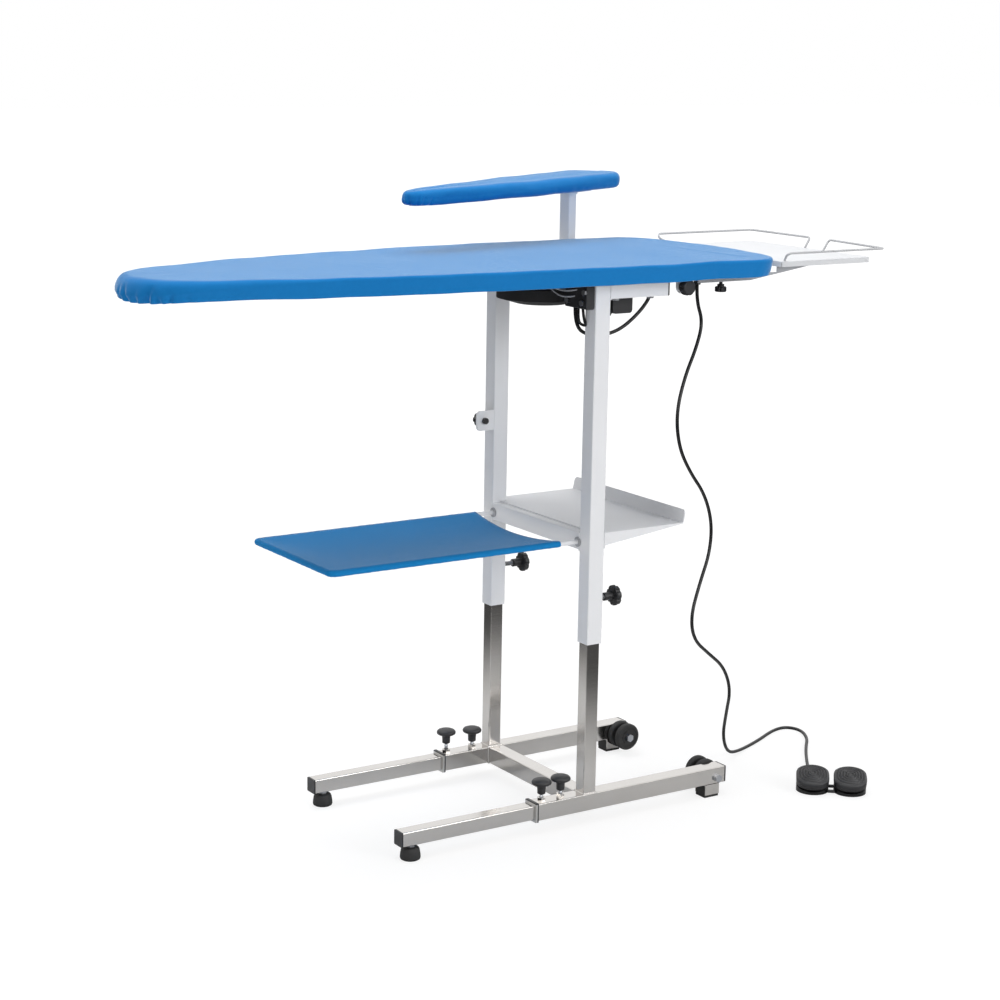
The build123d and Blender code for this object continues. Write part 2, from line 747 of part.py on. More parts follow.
def make_iron_rest():
    """Iron rest tray on two runners that slide in guides below the board."""
    width = (-iron_half_width, iron_half_width)
    tray = block((iron_front, iron_rear), width, (iron_top - iron_lip, iron_top))
    tray = fillet(tray.edges().filter_by(Axis.Z), iron_corner)
    tray = fillet(tray.edges().group_by(Axis.Z)[-1], sheet * 0.9)
    tray -= block(
        (iron_front + sheet, iron_rear - sheet),
        (sheet - iron_half_width, iron_half_width - sheet),
        (iron_top - iron_lip, iron_floor),
    )
    nodes["iron_tray"] = tray
    runners = []
    guides = []
    flange_top = cover_bottom - sheet / 2
    inside = iron_front + sheet + air
    inside_end = iron_rear - 2 * guard_inset
    guide_lip = flange_top - sheet - air
    guide_x = (runner_front + guide_start, runner_front + guide_start + guide_length)
    for side in (-1, 1):
        y = side * runner_half_spacing
        corners = [
            (runner_front, runner_bottom),
            (runner_front + runner_level, runner_bottom),
            (iron_front + runner_wedge, iron_top - iron_lip),
            (inside_end, iron_floor - runner_tip),
            (inside_end, iron_floor),
            (inside, iron_floor),
            (inside, flange_top),
            (runner_front, flange_top),
        ]
        outline = Polyline(*[(x, y + side * sheet, z) for x, z in corners], close=True)
        runner = extrude(make_face(outline), sheet, dir=(0, -side, 0))
        flange_y = tuple(sorted((y, y - side * runner_flange)))
        runner += block((runner_front, iron_front - iron_corner), flange_y, (flange_top - sheet, flange_top))
        runners.append(runner)
        web = y - side * (runner_flange + air)
        lip_y = tuple(sorted((y - side * air, web - side * sheet)))
        web_y = tuple(sorted((web, web - side * sheet)))
        guide = block(guide_x, lip_y, (guide_lip - sheet, guide_lip))
        guide += block(guide_x, web_y, (guide_lip - sheet, post_top))
        if side < 0:
            knob_x = runner_front + guide_knob
            knob_y = y - side * (runner_flange / 2 + air)
            guide = add_guide_boss(guide, knob_x, knob_y, guide_lip)
        guides.append(guide)
    nodes["iron_runners"] = Compound(runners)
    nodes["iron_guides"] = Compound(guides)


def add_guide_boss(guide, x, y, lip_top):
    """Threaded boss below a guide lip, and the knob that clamps the runner through it."""
    hole = bolt_diameter + 2 * turn_gap
    lip_bottom = lip_top - sheet
    boss_bottom = lip_bottom - guide_boss
    guide += rod((x, y, boss_bottom), (x, y, lip_bottom), hole + bolt_diameter)
    guide -= rod((x, y, boss_bottom), (x, y, lip_top), hole)
    stud = sheet + guide_boss + iron_stud_shown
    knob = clamp_knob(iron_knob_size, bolt_diameter, stud + air - 2 * turn_gap)
    nodes["iron_rest_knob"] = seat(knob, (x, y, lip_top - stud), (0, 0, -1))
    return guide


def make_guards():
    """Wire guards round the iron rest, one on each side, with a gap between them at the rear."""
    edge = iron_half_width + guard_out
    high = iron_top + guard_rise
    rear = iron_rear + guard_inset
    foot_x = iron_front + 2 * guard_inset
    foot_y = iron_half_width - guard_inset
    far = [
        (foot_x, foot_y, iron_top),
        (iron_front - guard_reach, edge, high),
        (rear, edge, high),
        (rear, guard_inset, high),
        (iron_rear - guard_inset, guard_inset, iron_top),
    ]
    near_edge = edge + near_guard_drop
    near_high = high - near_guard_drop
    near = [
        (iron_rear - guard_inset, -near_guard_gap, iron_top),
        (rear, -near_guard_gap, high),
        (rear + guard_out, -near_edge, near_high),
        (iron_front, -near_edge, near_high),
        (foot_x, -foot_y, iron_top),
    ]
    below = block((0, 2 * iron_rear), (-2 * edge, 2 * edge), (iron_top - 2 * iron_lip, iron_top))
    guards = [bent_rod(points, guard_bend, guard_rod) - below for points in (far, near)]
    nodes["iron_guards"] = Compound(guards)


def make_sleeve():
    """Swivelling sleeve board, nose a little down, on a square tube in a socket beside the far arm."""
    turn = Pos(sleeve_x, sleeve_y, 0) * Rot(0, 0, sleeve_yaw)
    lean = Pos(0, 0, sleeve_bottom) * Rot(0, -sleeve_droop, 0)

    def outline(inset):
        return tapered_outline(
            sleeve_ahead,
            sleeve_behind,
            sleeve_half_width,
            sleeve_nose_radius,
            sleeve_widest,
            sleeve_corner_radius,
            sleeve_tail_radius,
            inset,
        )

    nodes["sleeve_plate"] = turn * lean * layer(outline(sleeve_plate_inset), 0, sheet)
    pad = layer(outline(0), sheet + air, sleeve_thickness)
    pad = fillet(pad.edges().group_by(Axis.Z)[-1], sleeve_top_edge)
    pad = fillet(pad.edges().group_by(Axis.Z)[0], sleeve_low_edge)
    nodes["sleeve_pad"] = turn * lean * pad
    socket_top = cover_bottom - socket_drop
    tube_low = socket_top + air + thrust_height
    tube_top = sleeve_bottom - mount_thickness + 2 * air
    tube = square_tube((0, 0, tube_low), (0, 0, tube_top), sleeve_tube, sheet)
    collar = RectangleRounded(collar_width, collar_width, collar_corner)
    tube += layer(collar, tube_top - collar_height, tube_top)
    mount = RectangleRounded(mount_width, mount_width, mount_corner)
    tube += lean * layer(mount, -mount_thickness, 0)
    tube += layer(Circle(thrust_diameter / 2), socket_top + air, tube_low)
    tube += layer(Circle(pivot_diameter / 2), socket_top - pivot_length, socket_top + air)
    nodes["sleeve_post"] = turn * tube
    socket_low = socket_top - socket_height
    bar_low = socket_top - sleeve_bar_height
    outside = half + face
    side_x = (sleeve_x - sleeve_bar_width / 2, sleeve_x + sleeve_bar_width / 2)
    bar = block((sleeve_bar_front, side_x[1]), (outside, outside + sleeve_bar_thickness), (bar_low, socket_top))
    bar += block(side_x, (outside, sleeve_y), (bar_low, socket_top))
    foot = (sleeve_x, sleeve_y, socket_low)
    top = (sleeve_x, sleeve_y, socket_top)
    bar += rod(foot, top, pivot_diameter + 2 * socket_wall)
    bar -= rod(foot, top, pivot_diameter + 2 * turn_gap)
    nodes["sleeve_bracket"] = bar


def make_arm_bracket():
    """Hanging bracket behind the near arm with its clamp knob, and the cord's gland."""
    low_x = arm_end + cap_flange + hanger_gap
    high_x = low_x + hanger_width
    middle = (low_x + high_x) / 2
    y = -half - face
    knob_z = post_top - hanger_drop
    plate = block((low_x, high_x), (y, y + sheet), (knob_z, post_top))
    plate += rod((middle, y, knob_z), (middle, y + sheet, knob_z), hanger_width)
    plate += block((low_x, high_x), (y, y + hanger_depth), (post_top - sheet, post_top))
    plate -= rod((middle, y, knob_z), (middle, y + sheet, knob_z), bolt_diameter + 2 * turn_gap)
    nodes["arm_bracket"] = plate
    knob = clamp_knob(arm_knob_size, bolt_diameter, sheet + stud_past_plate)
    nodes["arm_knob"] = seat(knob, (middle, y - air, knob_z), (0, -1, 0))
    x, gland_y, z = cord_start
    gland = rod((x, gland_y, z), (x, gland_y, post_top), gland_diameter)
    flange_z = post_top - gland_flange_height
    gland += hexagon((x, gland_y, flange_z), (x, gland_y, post_top), gland_flange)
    nodes["cord_gland"] = gland


def make_pedals():
    """Two round foot switches side by side, each with a sprung domed cap."""
    tilt_axis = Vector(*pedal_right, 0) - Vector(*pedal_left, 0)
    cap_low = pedal_travel + pedal_grip
    bases = []
    links = []
    for word, (x, y) in (("left", pedal_left), ("right", pedal_right)):
        toward = Vector(tilt_axis.Y, -tilt_axis.X, 0).normalized()
        axis = Vector(0, 0, math.cos(math.radians(pedal_tilt)))
        axis += toward * math.sin(math.radians(pedal_tilt))
        radius = pedal_base_diameter / 2
        blank = 4 * pedal_base_height
        span = 2 * pedal_base_diameter
        top_plane = Plane((0, 0, pedal_base_height), z_dir=axis)
        above = top_plane * Pos(0, 0, blank) * Box(span, span, 2 * blank)
        below = Pos(0, 0, -blank) * Box(span, span, 2 * blank)
        base = Cylinder(radius, 2 * blank) - above - below
        stem_length = cap_low + 2 * pedal_grip
        base += top_plane * Pos(0, 0, stem_length / 2) * Cylinder(pedal_stem / 2, stem_length)
        if word == "left":
            near_end = toward * -(radius - socket_length / 2) + Vector(0, 0, socket_z)
            far_end = toward * -(radius + socket_length) + Vector(0, 0, socket_z)
            base += rod(tuple(near_end), tuple(far_end), socket_diameter)
        bases.append(Pos(x, y, 0) * base)
        cap_radius = pedal_cap_diameter / 2
        profile = Polyline(
            (0, cap_low + pedal_cap_height),
            (cap_radius * 0.45, cap_low + pedal_cap_height * 0.91),
            (cap_radius * 0.8, cap_low + pedal_cap_height * 0.66),
            (cap_radius, cap_low + pedal_cap_height * 0.22),
            (cap_radius, cap_low),
            (0, cap_low),
            close=True,
        )
        cap = revolve(Plane.XZ * make_face(profile), Axis.Z)
        cap -= Pos(0, 0, cap_low + pedal_hollow / 2) * Cylinder(pedal_stem / 2 + air, pedal_hollow)
        for ring in (0.32, 0.55, 0.76):
            cut = Pos(0, 0, cap_low + pedal_cap_height) * Torus(cap_radius * ring, pedal_groove)
            cap -= Pos(0, 0, -pedal_cap_height * ring ** 3 * 0.62) * cut
        nodes[f"pedal_cap_{word}"] = Pos(x, y, 0) * (top_plane.location * cap)
    nodes["pedal_bases"] = Compound(bases)
    start = Vector(*pedal_left, 0)
    step = tilt_axis.normalized()
    across = Vector(-step.Y, step.X, 0)
    inner_offset = link_offset - link_diameter / 2
    reach = math.sqrt((pedal_base_diameter / 2) ** 2 - inner_offset ** 2) + air
    for side in (-1, 1):
        shift = across * side * link_offset + Vector(0, 0, link_z)
        first = start + step * reach + shift
        last = start + step * (tilt_axis.length - reach) + shift
        links.append(rod(tuple(first), tuple(last), link_diameter))
    nodes["pedal_links"] = Compound(links)


def cord(points, diameter):
    """Limp cord along straight runs joined by the largest tangent arcs that fit."""
    vectors = [Vector(*point) for point in points]
    radii = []
    for before, here, after in zip(vectors, vectors[1:], vectors[2:]):
        turn = math.radians((here - before).get_angle(after - here))
        run = min((here - before).length, (after - here).length)
        radii.append(0.45 * run / math.tan(turn / 2))
    path = FilletPolyline(*points, radius=radii)
    tube = sweep(Plane(path @ 0, z_dir=path % 0) * Circle(diameter / 2), path)
    expected = math.pi * diameter ** 2 / 4 * path.length
    print("cord length", round(path.length), "least radius", round(min(radii)))
    print("cord volume over section times length", round(tube.volume / expected, 4))
    return tube


def make_cords():
    """Pedal cord from the gland to the floor, and the fan's cable."""
    tilt_axis = Vector(*pedal_right, 0) - Vector(*pedal_left, 0)
    back = Vector(-tilt_axis.Y, tilt_axis.X, 0).normalized()
    plug = Vector(*pedal_left, socket_z) + back * (pedal_base_diameter / 2 + socket_length)
    lead = plug + back * socket_lead
    floor = cord_diameter / 2 + turn_gap
    points = [
        cord_start,
        (226, -122, 884),
        (249, -112, 846),
        (226, -127, 806),
        (184, -151, 758),
        (163, -162, 700),
        (178, -154, 640),
        (224, -128, 588),
        (280, -97, 538),
        (313, -78, 480),
        (308, -81, 425),
        (272, -101, 378),
        (240, -119, 325),
        (256, -110, 278),
        (318, -75, 236),
        (385, -38, 192),
        (420, -18, 138),
        (404, -27, 96),
        (392, -34, 56),
        (416, -20, 16),
        (466, 6, floor),
        (538, 34, floor),
        (606, 66, floor),
        (650, 72, floor),
        (668, 40, floor),
        (646, -6, floor),
        (600, -50, floor),
        (550, -104, floor),
        tuple(lead),
        tuple(plug),
    ]
    nodes["pedal_cord"] = cord(points, cord_diameter)
    points = [
        (140, fan_cable_y, post_top),
        (140, fan_cable_y, 905),
        (118, fan_cable_y, 872),
        (64, fan_cable_y, 836),
        (6, fan_cable_y, 834),
        (-23, fan_cable_y, 854),
        (-23, fan_cable_y, bracket_bottom),
    ]
    nodes["fan_cable"] = cord(points, cord_diameter)


make_base()
make_extensions()
make_upper_frame()
make_boiler_tray()
make_board()
make_fan()
make_fan_bracket()
make_rack()
make_iron_rest()
make_guards()
make_sleeve()
make_arm_bracket()
make_pedals()
make_cords()

cord_nodes = ("pedal_cord",)
solid = Compound([shape for name, shape in nodes.items() if name not in cord_nodes])
box = solid.bounding_box()
origin = Vector((box.min.X + box.max.X) / 2, (box.min.Y + box.max.Y) / 2, box.min.Z)
print("origin", tuple(origin), "size", tuple(box.size))
for name, shape in nodes.items():
    export_step(Pos(-origin.X, -origin.Y, -origin.Z) * shape, f"parts/{name}.step")
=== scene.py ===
"""Dresses the vacuum ironing table: finishes, covers, cloth, cords, small details, stage and camera."""

import json
import logging
import math
import random
from dataclasses import dataclass, replace
from enum import Enum
from typing import Callable, Mapping, Sequence

import bmesh
import bpy
from mathutils import Matrix, Vector, noise

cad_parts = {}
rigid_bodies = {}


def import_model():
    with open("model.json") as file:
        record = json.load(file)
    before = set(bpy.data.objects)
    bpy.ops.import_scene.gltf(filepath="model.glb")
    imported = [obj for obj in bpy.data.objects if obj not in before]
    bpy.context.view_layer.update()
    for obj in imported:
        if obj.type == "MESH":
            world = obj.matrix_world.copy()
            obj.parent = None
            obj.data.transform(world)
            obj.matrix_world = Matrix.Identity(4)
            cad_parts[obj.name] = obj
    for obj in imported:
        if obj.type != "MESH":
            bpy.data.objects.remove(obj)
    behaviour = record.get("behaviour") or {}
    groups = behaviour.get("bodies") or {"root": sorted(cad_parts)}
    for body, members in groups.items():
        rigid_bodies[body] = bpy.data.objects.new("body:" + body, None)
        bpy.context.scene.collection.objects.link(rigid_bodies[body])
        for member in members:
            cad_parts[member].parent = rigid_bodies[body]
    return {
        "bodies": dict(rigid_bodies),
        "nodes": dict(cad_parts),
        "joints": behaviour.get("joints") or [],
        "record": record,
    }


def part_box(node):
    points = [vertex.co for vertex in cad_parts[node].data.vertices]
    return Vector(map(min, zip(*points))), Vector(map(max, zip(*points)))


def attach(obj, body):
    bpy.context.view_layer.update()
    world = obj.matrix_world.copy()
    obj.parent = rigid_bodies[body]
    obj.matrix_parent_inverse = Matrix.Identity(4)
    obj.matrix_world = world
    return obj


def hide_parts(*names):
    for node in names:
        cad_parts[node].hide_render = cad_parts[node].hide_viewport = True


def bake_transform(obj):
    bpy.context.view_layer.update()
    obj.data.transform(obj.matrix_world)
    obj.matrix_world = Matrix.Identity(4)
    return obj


log = logging.getLogger("ironing_table")
MM = 0.001
WHITE_LIGHT = (1.0, 1.0, 1.0, 1.0)
SHADER = "Principled BSDF"
Point = tuple[float, float, float]
Colour = tuple[float, float, float, float]
Socket = bpy.types.NodeSocket
Material = bpy.types.Material
Piece = bpy.types.Object


class Slot(str, Enum):
    """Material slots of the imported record."""

    WHITE = "white_paint"
    GREY = "grey_paint"
    STEEL = "bright_steel"
    ZINC = "zinc"
    PAN = "pan_steel"
    PLASTIC = "black_plastic"
    RUBBER = "black_rubber"
    CORD = "cord_black"
    COTTON = "blue_cotton"
    FELT = "white_felt"


class Side(Enum):
    """The two long sides of the table, by the sign of their Y."""

    NEAR = -1
    FAR = 1


def srgb(red: int, green: int, blue: int) -> Colour:
    """Linear colour of an 8-bit screen colour.

    Args:
        red, green, blue: Channel values from 0 to 255.

    Returns:
        Linear red, green, blue and an alpha of 1.
    """
    def line(value: int) -> float:
        share = value / 255
        return share / 12.92 if share <= 0.04045 else ((share + 0.055) / 1.055) ** 2.4

    return (line(red), line(green), line(blue), 1.0)


@dataclass
class Datum:
    """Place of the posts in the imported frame; lengths in the part's own millimetres start here."""

    x: float
    y: float

    @classmethod
    def from_frame(cls) -> "Datum":
        """Datum at the middle of the two rack bushes, which lie on the posts' line."""
        low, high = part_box("rack_bushes")
        return cls((low[0] + high[0]) / 2, (low[1] + high[1]) / 2)

    def at(self, x: float, y: float, z: float) -> Vector:
        """Point in the frame, in metres, from millimetres off the posts' line on the floor."""
        return Vector((self.x + x * MM, self.y + y * MM, z * MM))


class Tree:
    """Short hand for placing and linking nodes in one tree."""

    def __init__(self, tree: bpy.types.NodeTree) -> None:
        """Keep the tree to work on."""
        self.tree = tree

    def give(self, socket: Socket, value: object) -> None:
        """Link a value to an input, or set it there if it is a number or a colour."""
        if isinstance(value, Socket):
            self.tree.links.new(value, socket)
        else:
            socket.default_value = value

    def add(self, kind: str, given: Sequence[tuple[object, object]] = (), **values: object) -> bpy.types.Node:
        """Place a node.

        Args:
            kind: Node type, without the shader prefix.
            given: Names or numbers of inputs, each with its link or value.
            values: Attributes to set first.

        Returns:
            The new node.
        """
        node = self.tree.nodes.new("ShaderNode" + kind)
        for label, value in values.items():
            setattr(node, label, value)
        for label, value in given:
            self.give(node.inputs[label], value)
        return node

    def maths(self, operation: str, first: object, second: object = 0.0) -> Socket:
        """Result of an operation on two sockets or numbers."""
        return self.add("Math", ((0, first), (1, second)), operation=operation).outputs[0]

    def mix(self, mask: Socket, first: object, second: object) -> Socket:
        """Colour between two colours or sockets, by a mask."""
        return self.add("Mix", ((0, mask), (6, first), (7, second)), data_type="RGBA").outputs[2]

    def ramp(
        self, value: Socket, start: float, end: float, low: float, high: float, kind: str = "SMOOTHSTEP"
    ) -> Socket:
        """Value carried over from one range to another.

        Args:
            value: Socket to carry over.
            start, end: Range that it comes from.
            low, high: Results at both ends of that range.
            kind: How it runs between the ends.

        Returns:
            The result's socket.
        """
        given = (("Value", value), ("From Min", start), ("From Max", end), ("To Min", low), ("To Max", high))
        return self.add("MapRange", given, interpolation_type=kind).outputs["Result"]

    def noise(self, vector: Socket, scale: object, detail: float) -> Socket:
        """Noise at a scale, with some octaves of detail."""
        return self.add("TexNoise", (("Vector", vector), ("Scale", scale), ("Detail", detail))).outputs["Fac"]

    def split(self, vector: Socket) -> Mapping[str, Socket]:
        """Sockets of a vector's X, Y and Z."""
        return self.add("SeparateXYZ", ((0, vector),)).outputs


class Group(Tree):
    """Shader node group with float sockets, worked out in the object's own space."""

    def __init__(self, name: str, inputs: Mapping[str, float], outputs: Sequence[str]) -> None:
        """Make the group's sockets and its coordinates.

        Args:
            name: Name of the group.
            inputs: Names and default values of the inputs.
            outputs: Names of the outputs.
        """
        super().__init__(bpy.data.node_groups.new(name, "ShaderNodeTree"))
        for label, value in inputs.items():
            socket = self.tree.interface.new_socket(label, in_out="INPUT", socket_type="NodeSocketFloat")
            socket.default_value = value
        for label in outputs:
            self.tree.interface.new_socket(label, in_out="OUTPUT", socket_type="NodeSocketFloat")
        self.source = self.tree.nodes.new("NodeGroupInput")
        self.result = self.tree.nodes.new("NodeGroupOutput")
        self.place = self.add("TexCoord").outputs["Object"]

    def put(self, label: str, value: Socket) -> None:
        """Send a value to an output."""
        self.give(self.result.inputs[label], value)

    def put_noise(self, label: str, scale: object, detail: float) -> None:
        """Send noise to an output, at the scale of a named input or at a number."""
        known = self.source.outputs[scale] if isinstance(scale, str) else scale
        self.put(label, self.noise(self.place, known, detail))


class Effects:
    """Node groups that several finishes share."""

    UPRIGHT_YARN = 0.7
    CLOUD_SCALE = 14.0

    def __init__(self) -> None:
        """Build each group once."""
        self.grain = self._grain()
        self.weave = self._weave()
        self.brushed = self._brushed()

    @staticmethod
    def _grain() -> bpy.types.NodeTree:
        """Fine grain with broad mottling."""
        kit = Group("fine_grain", {"Grain Scale": 900.0, "Mottle Scale": 9.0}, ("Height", "Mottle"))
        kit.put_noise("Height", "Grain Scale", 3.0)
        kit.put_noise("Mottle", "Mottle Scale", 4.0)
        return kit.tree

    def _weave(self) -> bpy.types.NodeTree:
        """Plain weave of two crossing yarn sets, with slubs and broad tone changes."""
        inputs = {"Yarn Scale": 620.0, "Slub Scale": 160.0, "Cloud Scale": 7.0}
        kit = Group("plain_weave", inputs, ("Height", "Slub", "Cloud"))
        axes = kit.split(kit.place)
        upright = kit.maths("MULTIPLY", axes["Z"], self.UPRIGHT_YARN)
        scale = kit.maths("MULTIPLY", kit.source.outputs["Yarn Scale"], 2 * math.pi)
        yarns = []
        for axis in "XY":
            reach = kit.maths("ADD", axes[axis], upright)
            yarns.append(kit.maths("SINE", kit.maths("MULTIPLY", reach, scale)))
        kit.put("Height", kit.maths("MULTIPLY", *yarns))
        kit.put_noise("Slub", "Slub Scale", 4.0)
        kit.put_noise("Cloud", "Cloud Scale", 3.0)
        return kit.tree

    def _brushed(self) -> bpy.types.NodeTree:
        """Drawn or brushed lines that run along one direction of the tube."""
        inputs = {"Along X": 6.0, "Along Y": 900.0, "Along Z": 900.0}
        kit = Group("drawn_lines", inputs, ("Lines", "Cloud"))
        stretch = kit.add("CombineXYZ", [(axis, kit.source.outputs["Along " + axis]) for axis in "XYZ"])
        scaled = kit.add("VectorMath", ((0, kit.place), (1, stretch.outputs[0])), operation="MULTIPLY")
        kit.put("Lines", kit.noise(scaled.outputs[0], 1.0, 3.0))
        kit.put_noise("Cloud", self.CLOUD_SCALE, 4.0)
        return kit.tree


@dataclass(frozen=True)
class Finish:
    """A hard finish: paint, plastic, rubber or plated metal, with grain, mottling and gloss."""

    name: str
    colour: Colour
    second: Colour
    roughness: float
    roughness_spread: float = 0.08
    metallic: float = 0.0
    grain: float = 900.0
    mottle: float = 9.0
    bump: float = 0.06

    BUMP_DEPTH = 0.0006

    def material(self, effects: Effects) -> Material:
        """Build the finish as a node material.

        Args:
            effects: Shared node groups.

        Returns:
            The material.
        """
        made, kit, shader = self._start()
        scales = (("Grain Scale", self.grain), ("Mottle Scale", self.mottle))
        group = kit.add("Group", scales, node_tree=effects.grain)
        self._gloss(kit, shader, group.outputs["Mottle"])
        self._paint(kit, shader, group.outputs["Mottle"], group.outputs["Height"])
        return made

    def _start(self) -> tuple[Material, Tree, bpy.types.Node]:
        """New material of the finish's name, with its tree and its shader."""
        made = bpy.data.materials.new(self.name)
        made.use_nodes = True
        shader = made.node_tree.nodes[SHADER]
        shader.inputs["Metallic"].default_value = self.metallic
        return made, Tree(made.node_tree), shader

    def _gloss(self, kit: Tree, shader: bpy.types.Node, mask: Socket) -> None:
        """Spread the roughness by a mask."""
        low = self.roughness - self.roughness_spread
        high = self.roughness + self.roughness_spread
        kit.give(shader.inputs["Roughness"], kit.ramp(mask, 0.0, 1.0, low, high, "LINEAR"))

    def _paint(self, kit: Tree, shader: bpy.types.Node, tone: Socket, height: Socket) -> None:
        """Mix the two colours by a tone and bump the surface by a height."""
        kit.give(shader.inputs["Base Color"], kit.mix(tone, self.colour, self.second))
        given = (("Strength", self.bump), ("Distance", self.BUMP_DEPTH), ("Height", height))
        kit.give(shader.inputs["Normal"], kit.add("Bump", given).outputs["Normal"])


@dataclass(frozen=True)
class DrawnMetal(Finish):
    """Bright drawn tube with fine lines along its length."""

    lines: Point = (5.0, 900.0, 900.0)

    def material(self, effects: Effects) -> Material:
        """Build the drawn finish from the shared line group."""
        made, kit, shader = self._start()
        scales = [("Along " + axis, value) for axis, value in zip("XYZ", self.lines)]
        group = kit.add("Group", scales, node_tree=effects.brushed)
        self._gloss(kit, shader, group.outputs["Lines"])
        self._paint(kit, shader, group.outputs["Cloud"], group.outputs["Lines"])
        return made


@dataclass(frozen=True)
class Cloth(Finish):
    """Woven or pressed cloth with yarn bump, slubs, cloudy tone and sheen."""

    yarn: float = 620.0
    sheen: float = 0.3
    sheen_tint: Colour = WHITE_LIGHT

    SPECULAR = 0.25
    SHEEN_ROUGHNESS = 0.29
    SLUB_TONE = 0.55
    CLOUD_TONE = 0.45
    SLUB_HEIGHT = 1.6

    def material(self, effects: Effects) -> Material:
        """Build the cloth from the shared weave group."""
        made, kit, shader = self._start()
        shader.inputs["Roughness"].default_value = self.roughness
        shader.inputs["Specular IOR Level"].default_value = self.SPECULAR
        shader.inputs["Sheen Weight"].default_value = self.sheen
        shader.inputs["Sheen Roughness"].default_value = self.SHEEN_ROUGHNESS
        shader.inputs["Sheen Tint"].default_value = self.sheen_tint
        group = kit.add("Group", (("Yarn Scale", self.yarn),), node_tree=effects.weave)
        slub = group.outputs["Slub"]
        cloud = kit.maths("MULTIPLY", group.outputs["Cloud"], self.CLOUD_TONE)
        tone = kit.maths("ADD", kit.maths("MULTIPLY", slub, self.SLUB_TONE), cloud)
        height = kit.maths("ADD", group.outputs["Height"], kit.maths("MULTIPLY", slub, self.SLUB_HEIGHT))
        self._paint(kit, shader, tone, height)
        return made


@dataclass(frozen=True)
class ClippedBand(Finish):
    """Black moulding whose upright strip is bright steel on its front half."""

    steel: Colour = WHITE_LIGHT
    top: float = 0.0541
    front: float = 0.0

    def material(self, effects: Effects) -> Material:
        """Build the black finish and mix the steel in below the top and before the front."""
        made = super().material(effects)
        kit = Tree(made.node_tree)
        inputs = made.node_tree.nodes[SHADER].inputs
        axes = kit.split(kit.add("TexCoord").outputs["Object"])
        below = kit.maths("LESS_THAN", axes["Z"], self.top)
        band = kit.maths("MULTIPLY", below, kit.maths("LESS_THAN", axes["X"], self.front))
        black = inputs["Base Color"].links[0].from_socket
        kit.give(inputs["Base Color"], kit.mix(band, black, self.steel))
        kit.give(inputs["Metallic"], band)
        return made


class Finishes:
    """All finishes of the table, by record slot or by node."""

    def __init__(self) -> None:
        """Build every material once."""
        effects = Effects()
        sheen = srgb(205, 225, 240)
        table = {
            Slot.WHITE: Finish(
                "white_powder_coat", srgb(231, 232, 234), srgb(224, 225, 228), 0.42, bump=0.10, grain=1400
            ),
            Slot.GREY: Finish("grey_powder_coat", srgb(168, 170, 174), srgb(156, 158, 163), 0.45, bump=0.1),
            Slot.STEEL: DrawnMetal(
                "bright_drawn_tube", srgb(206, 203, 200), srgb(192, 189, 185), 0.15, 0.05, 1.0, bump=0.03
            ),
            Slot.ZINC: Finish("zinc_plate", srgb(190, 192, 196), srgb(168, 171, 176), 0.32, metallic=1.0),
            Slot.PAN: Finish(
                "galvanised_sheet", srgb(176, 180, 184), srgb(150, 154, 159), 0.38, metallic=1.0, mottle=70.0
            ),
            Slot.PLASTIC: Finish(
                "black_moulding", srgb(30, 30, 32), srgb(40, 40, 43), 0.45, grain=1600, bump=0.2
            ),
            Slot.RUBBER: Finish(
                "black_rubber", srgb(28, 28, 29), srgb(38, 38, 38), 0.68, grain=1100, bump=0.25
            ),
            Slot.CORD: Finish("cord_sheath", srgb(12, 12, 13), srgb(18, 18, 19), 0.42, grain=2200, bump=0.1),
            Slot.COTTON: Cloth(
                "blue_cotton", srgb(3, 110, 178), srgb(8, 121, 191), 0.85, bump=0.22, sheen=1.0,
                sheen_tint=sheen,
            ),
            Slot.FELT: Cloth(
                "white_felt", srgb(226, 222, 214), srgb(212, 207, 198), 0.95, bump=0.4, yarn=300.0
            ),
        }
        self.by_slot = {slot: finish.material(effects) for slot, finish in table.items()}
        low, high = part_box("rail_collars")
        special = {
            "rail_collars": ClippedBand(
                "clipped_band", srgb(24, 24, 26), srgb(34, 34, 36), 0.4, steel=srgb(206, 205, 203),
                front=(low[0] + high[0]) / 2,
            ),
            "iron_guards": Finish("coated_wire", srgb(186, 187, 189), srgb(174, 175, 178), 0.4, grain=1400),
            "rack_cloth": Cloth(
                "rack_cotton", srgb(4, 116, 180), srgb(10, 126, 192), 0.85, bump=0.22, sheen=0.35,
                sheen_tint=sheen,
            ),
            # The iron tray gets a darker copy of the white paint: painted shade, so the overhead lamp does
            # not wash it out.
            "iron_tray": Finish("tray_paint", srgb(214, 215, 217), srgb(206, 208, 211), 0.45, grain=1400),
            "pedal_bases": Finish("glossy_moulding", srgb(14, 14, 15), srgb(20, 20, 21), 0.3, bump=0.1),
        }
        self.by_node = {node: finish.material(effects) for node, finish in special.items()}

    def dress_nodes(self, frame: dict) -> None:
        """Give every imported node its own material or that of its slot.

        Args:
            frame: The loaded frame.
        """
        slots = {item["node"]: item["material_slot"] for item in frame["record"]["subparts"]}
        for name, node in frame["nodes"].items():
            material = self.by_node.get(name, self.by_slot[Slot(slots[name])])
            node.data.materials.clear()
            node.data.materials.append(material)
            log.info("node %s dressed in %s", name, material.name)


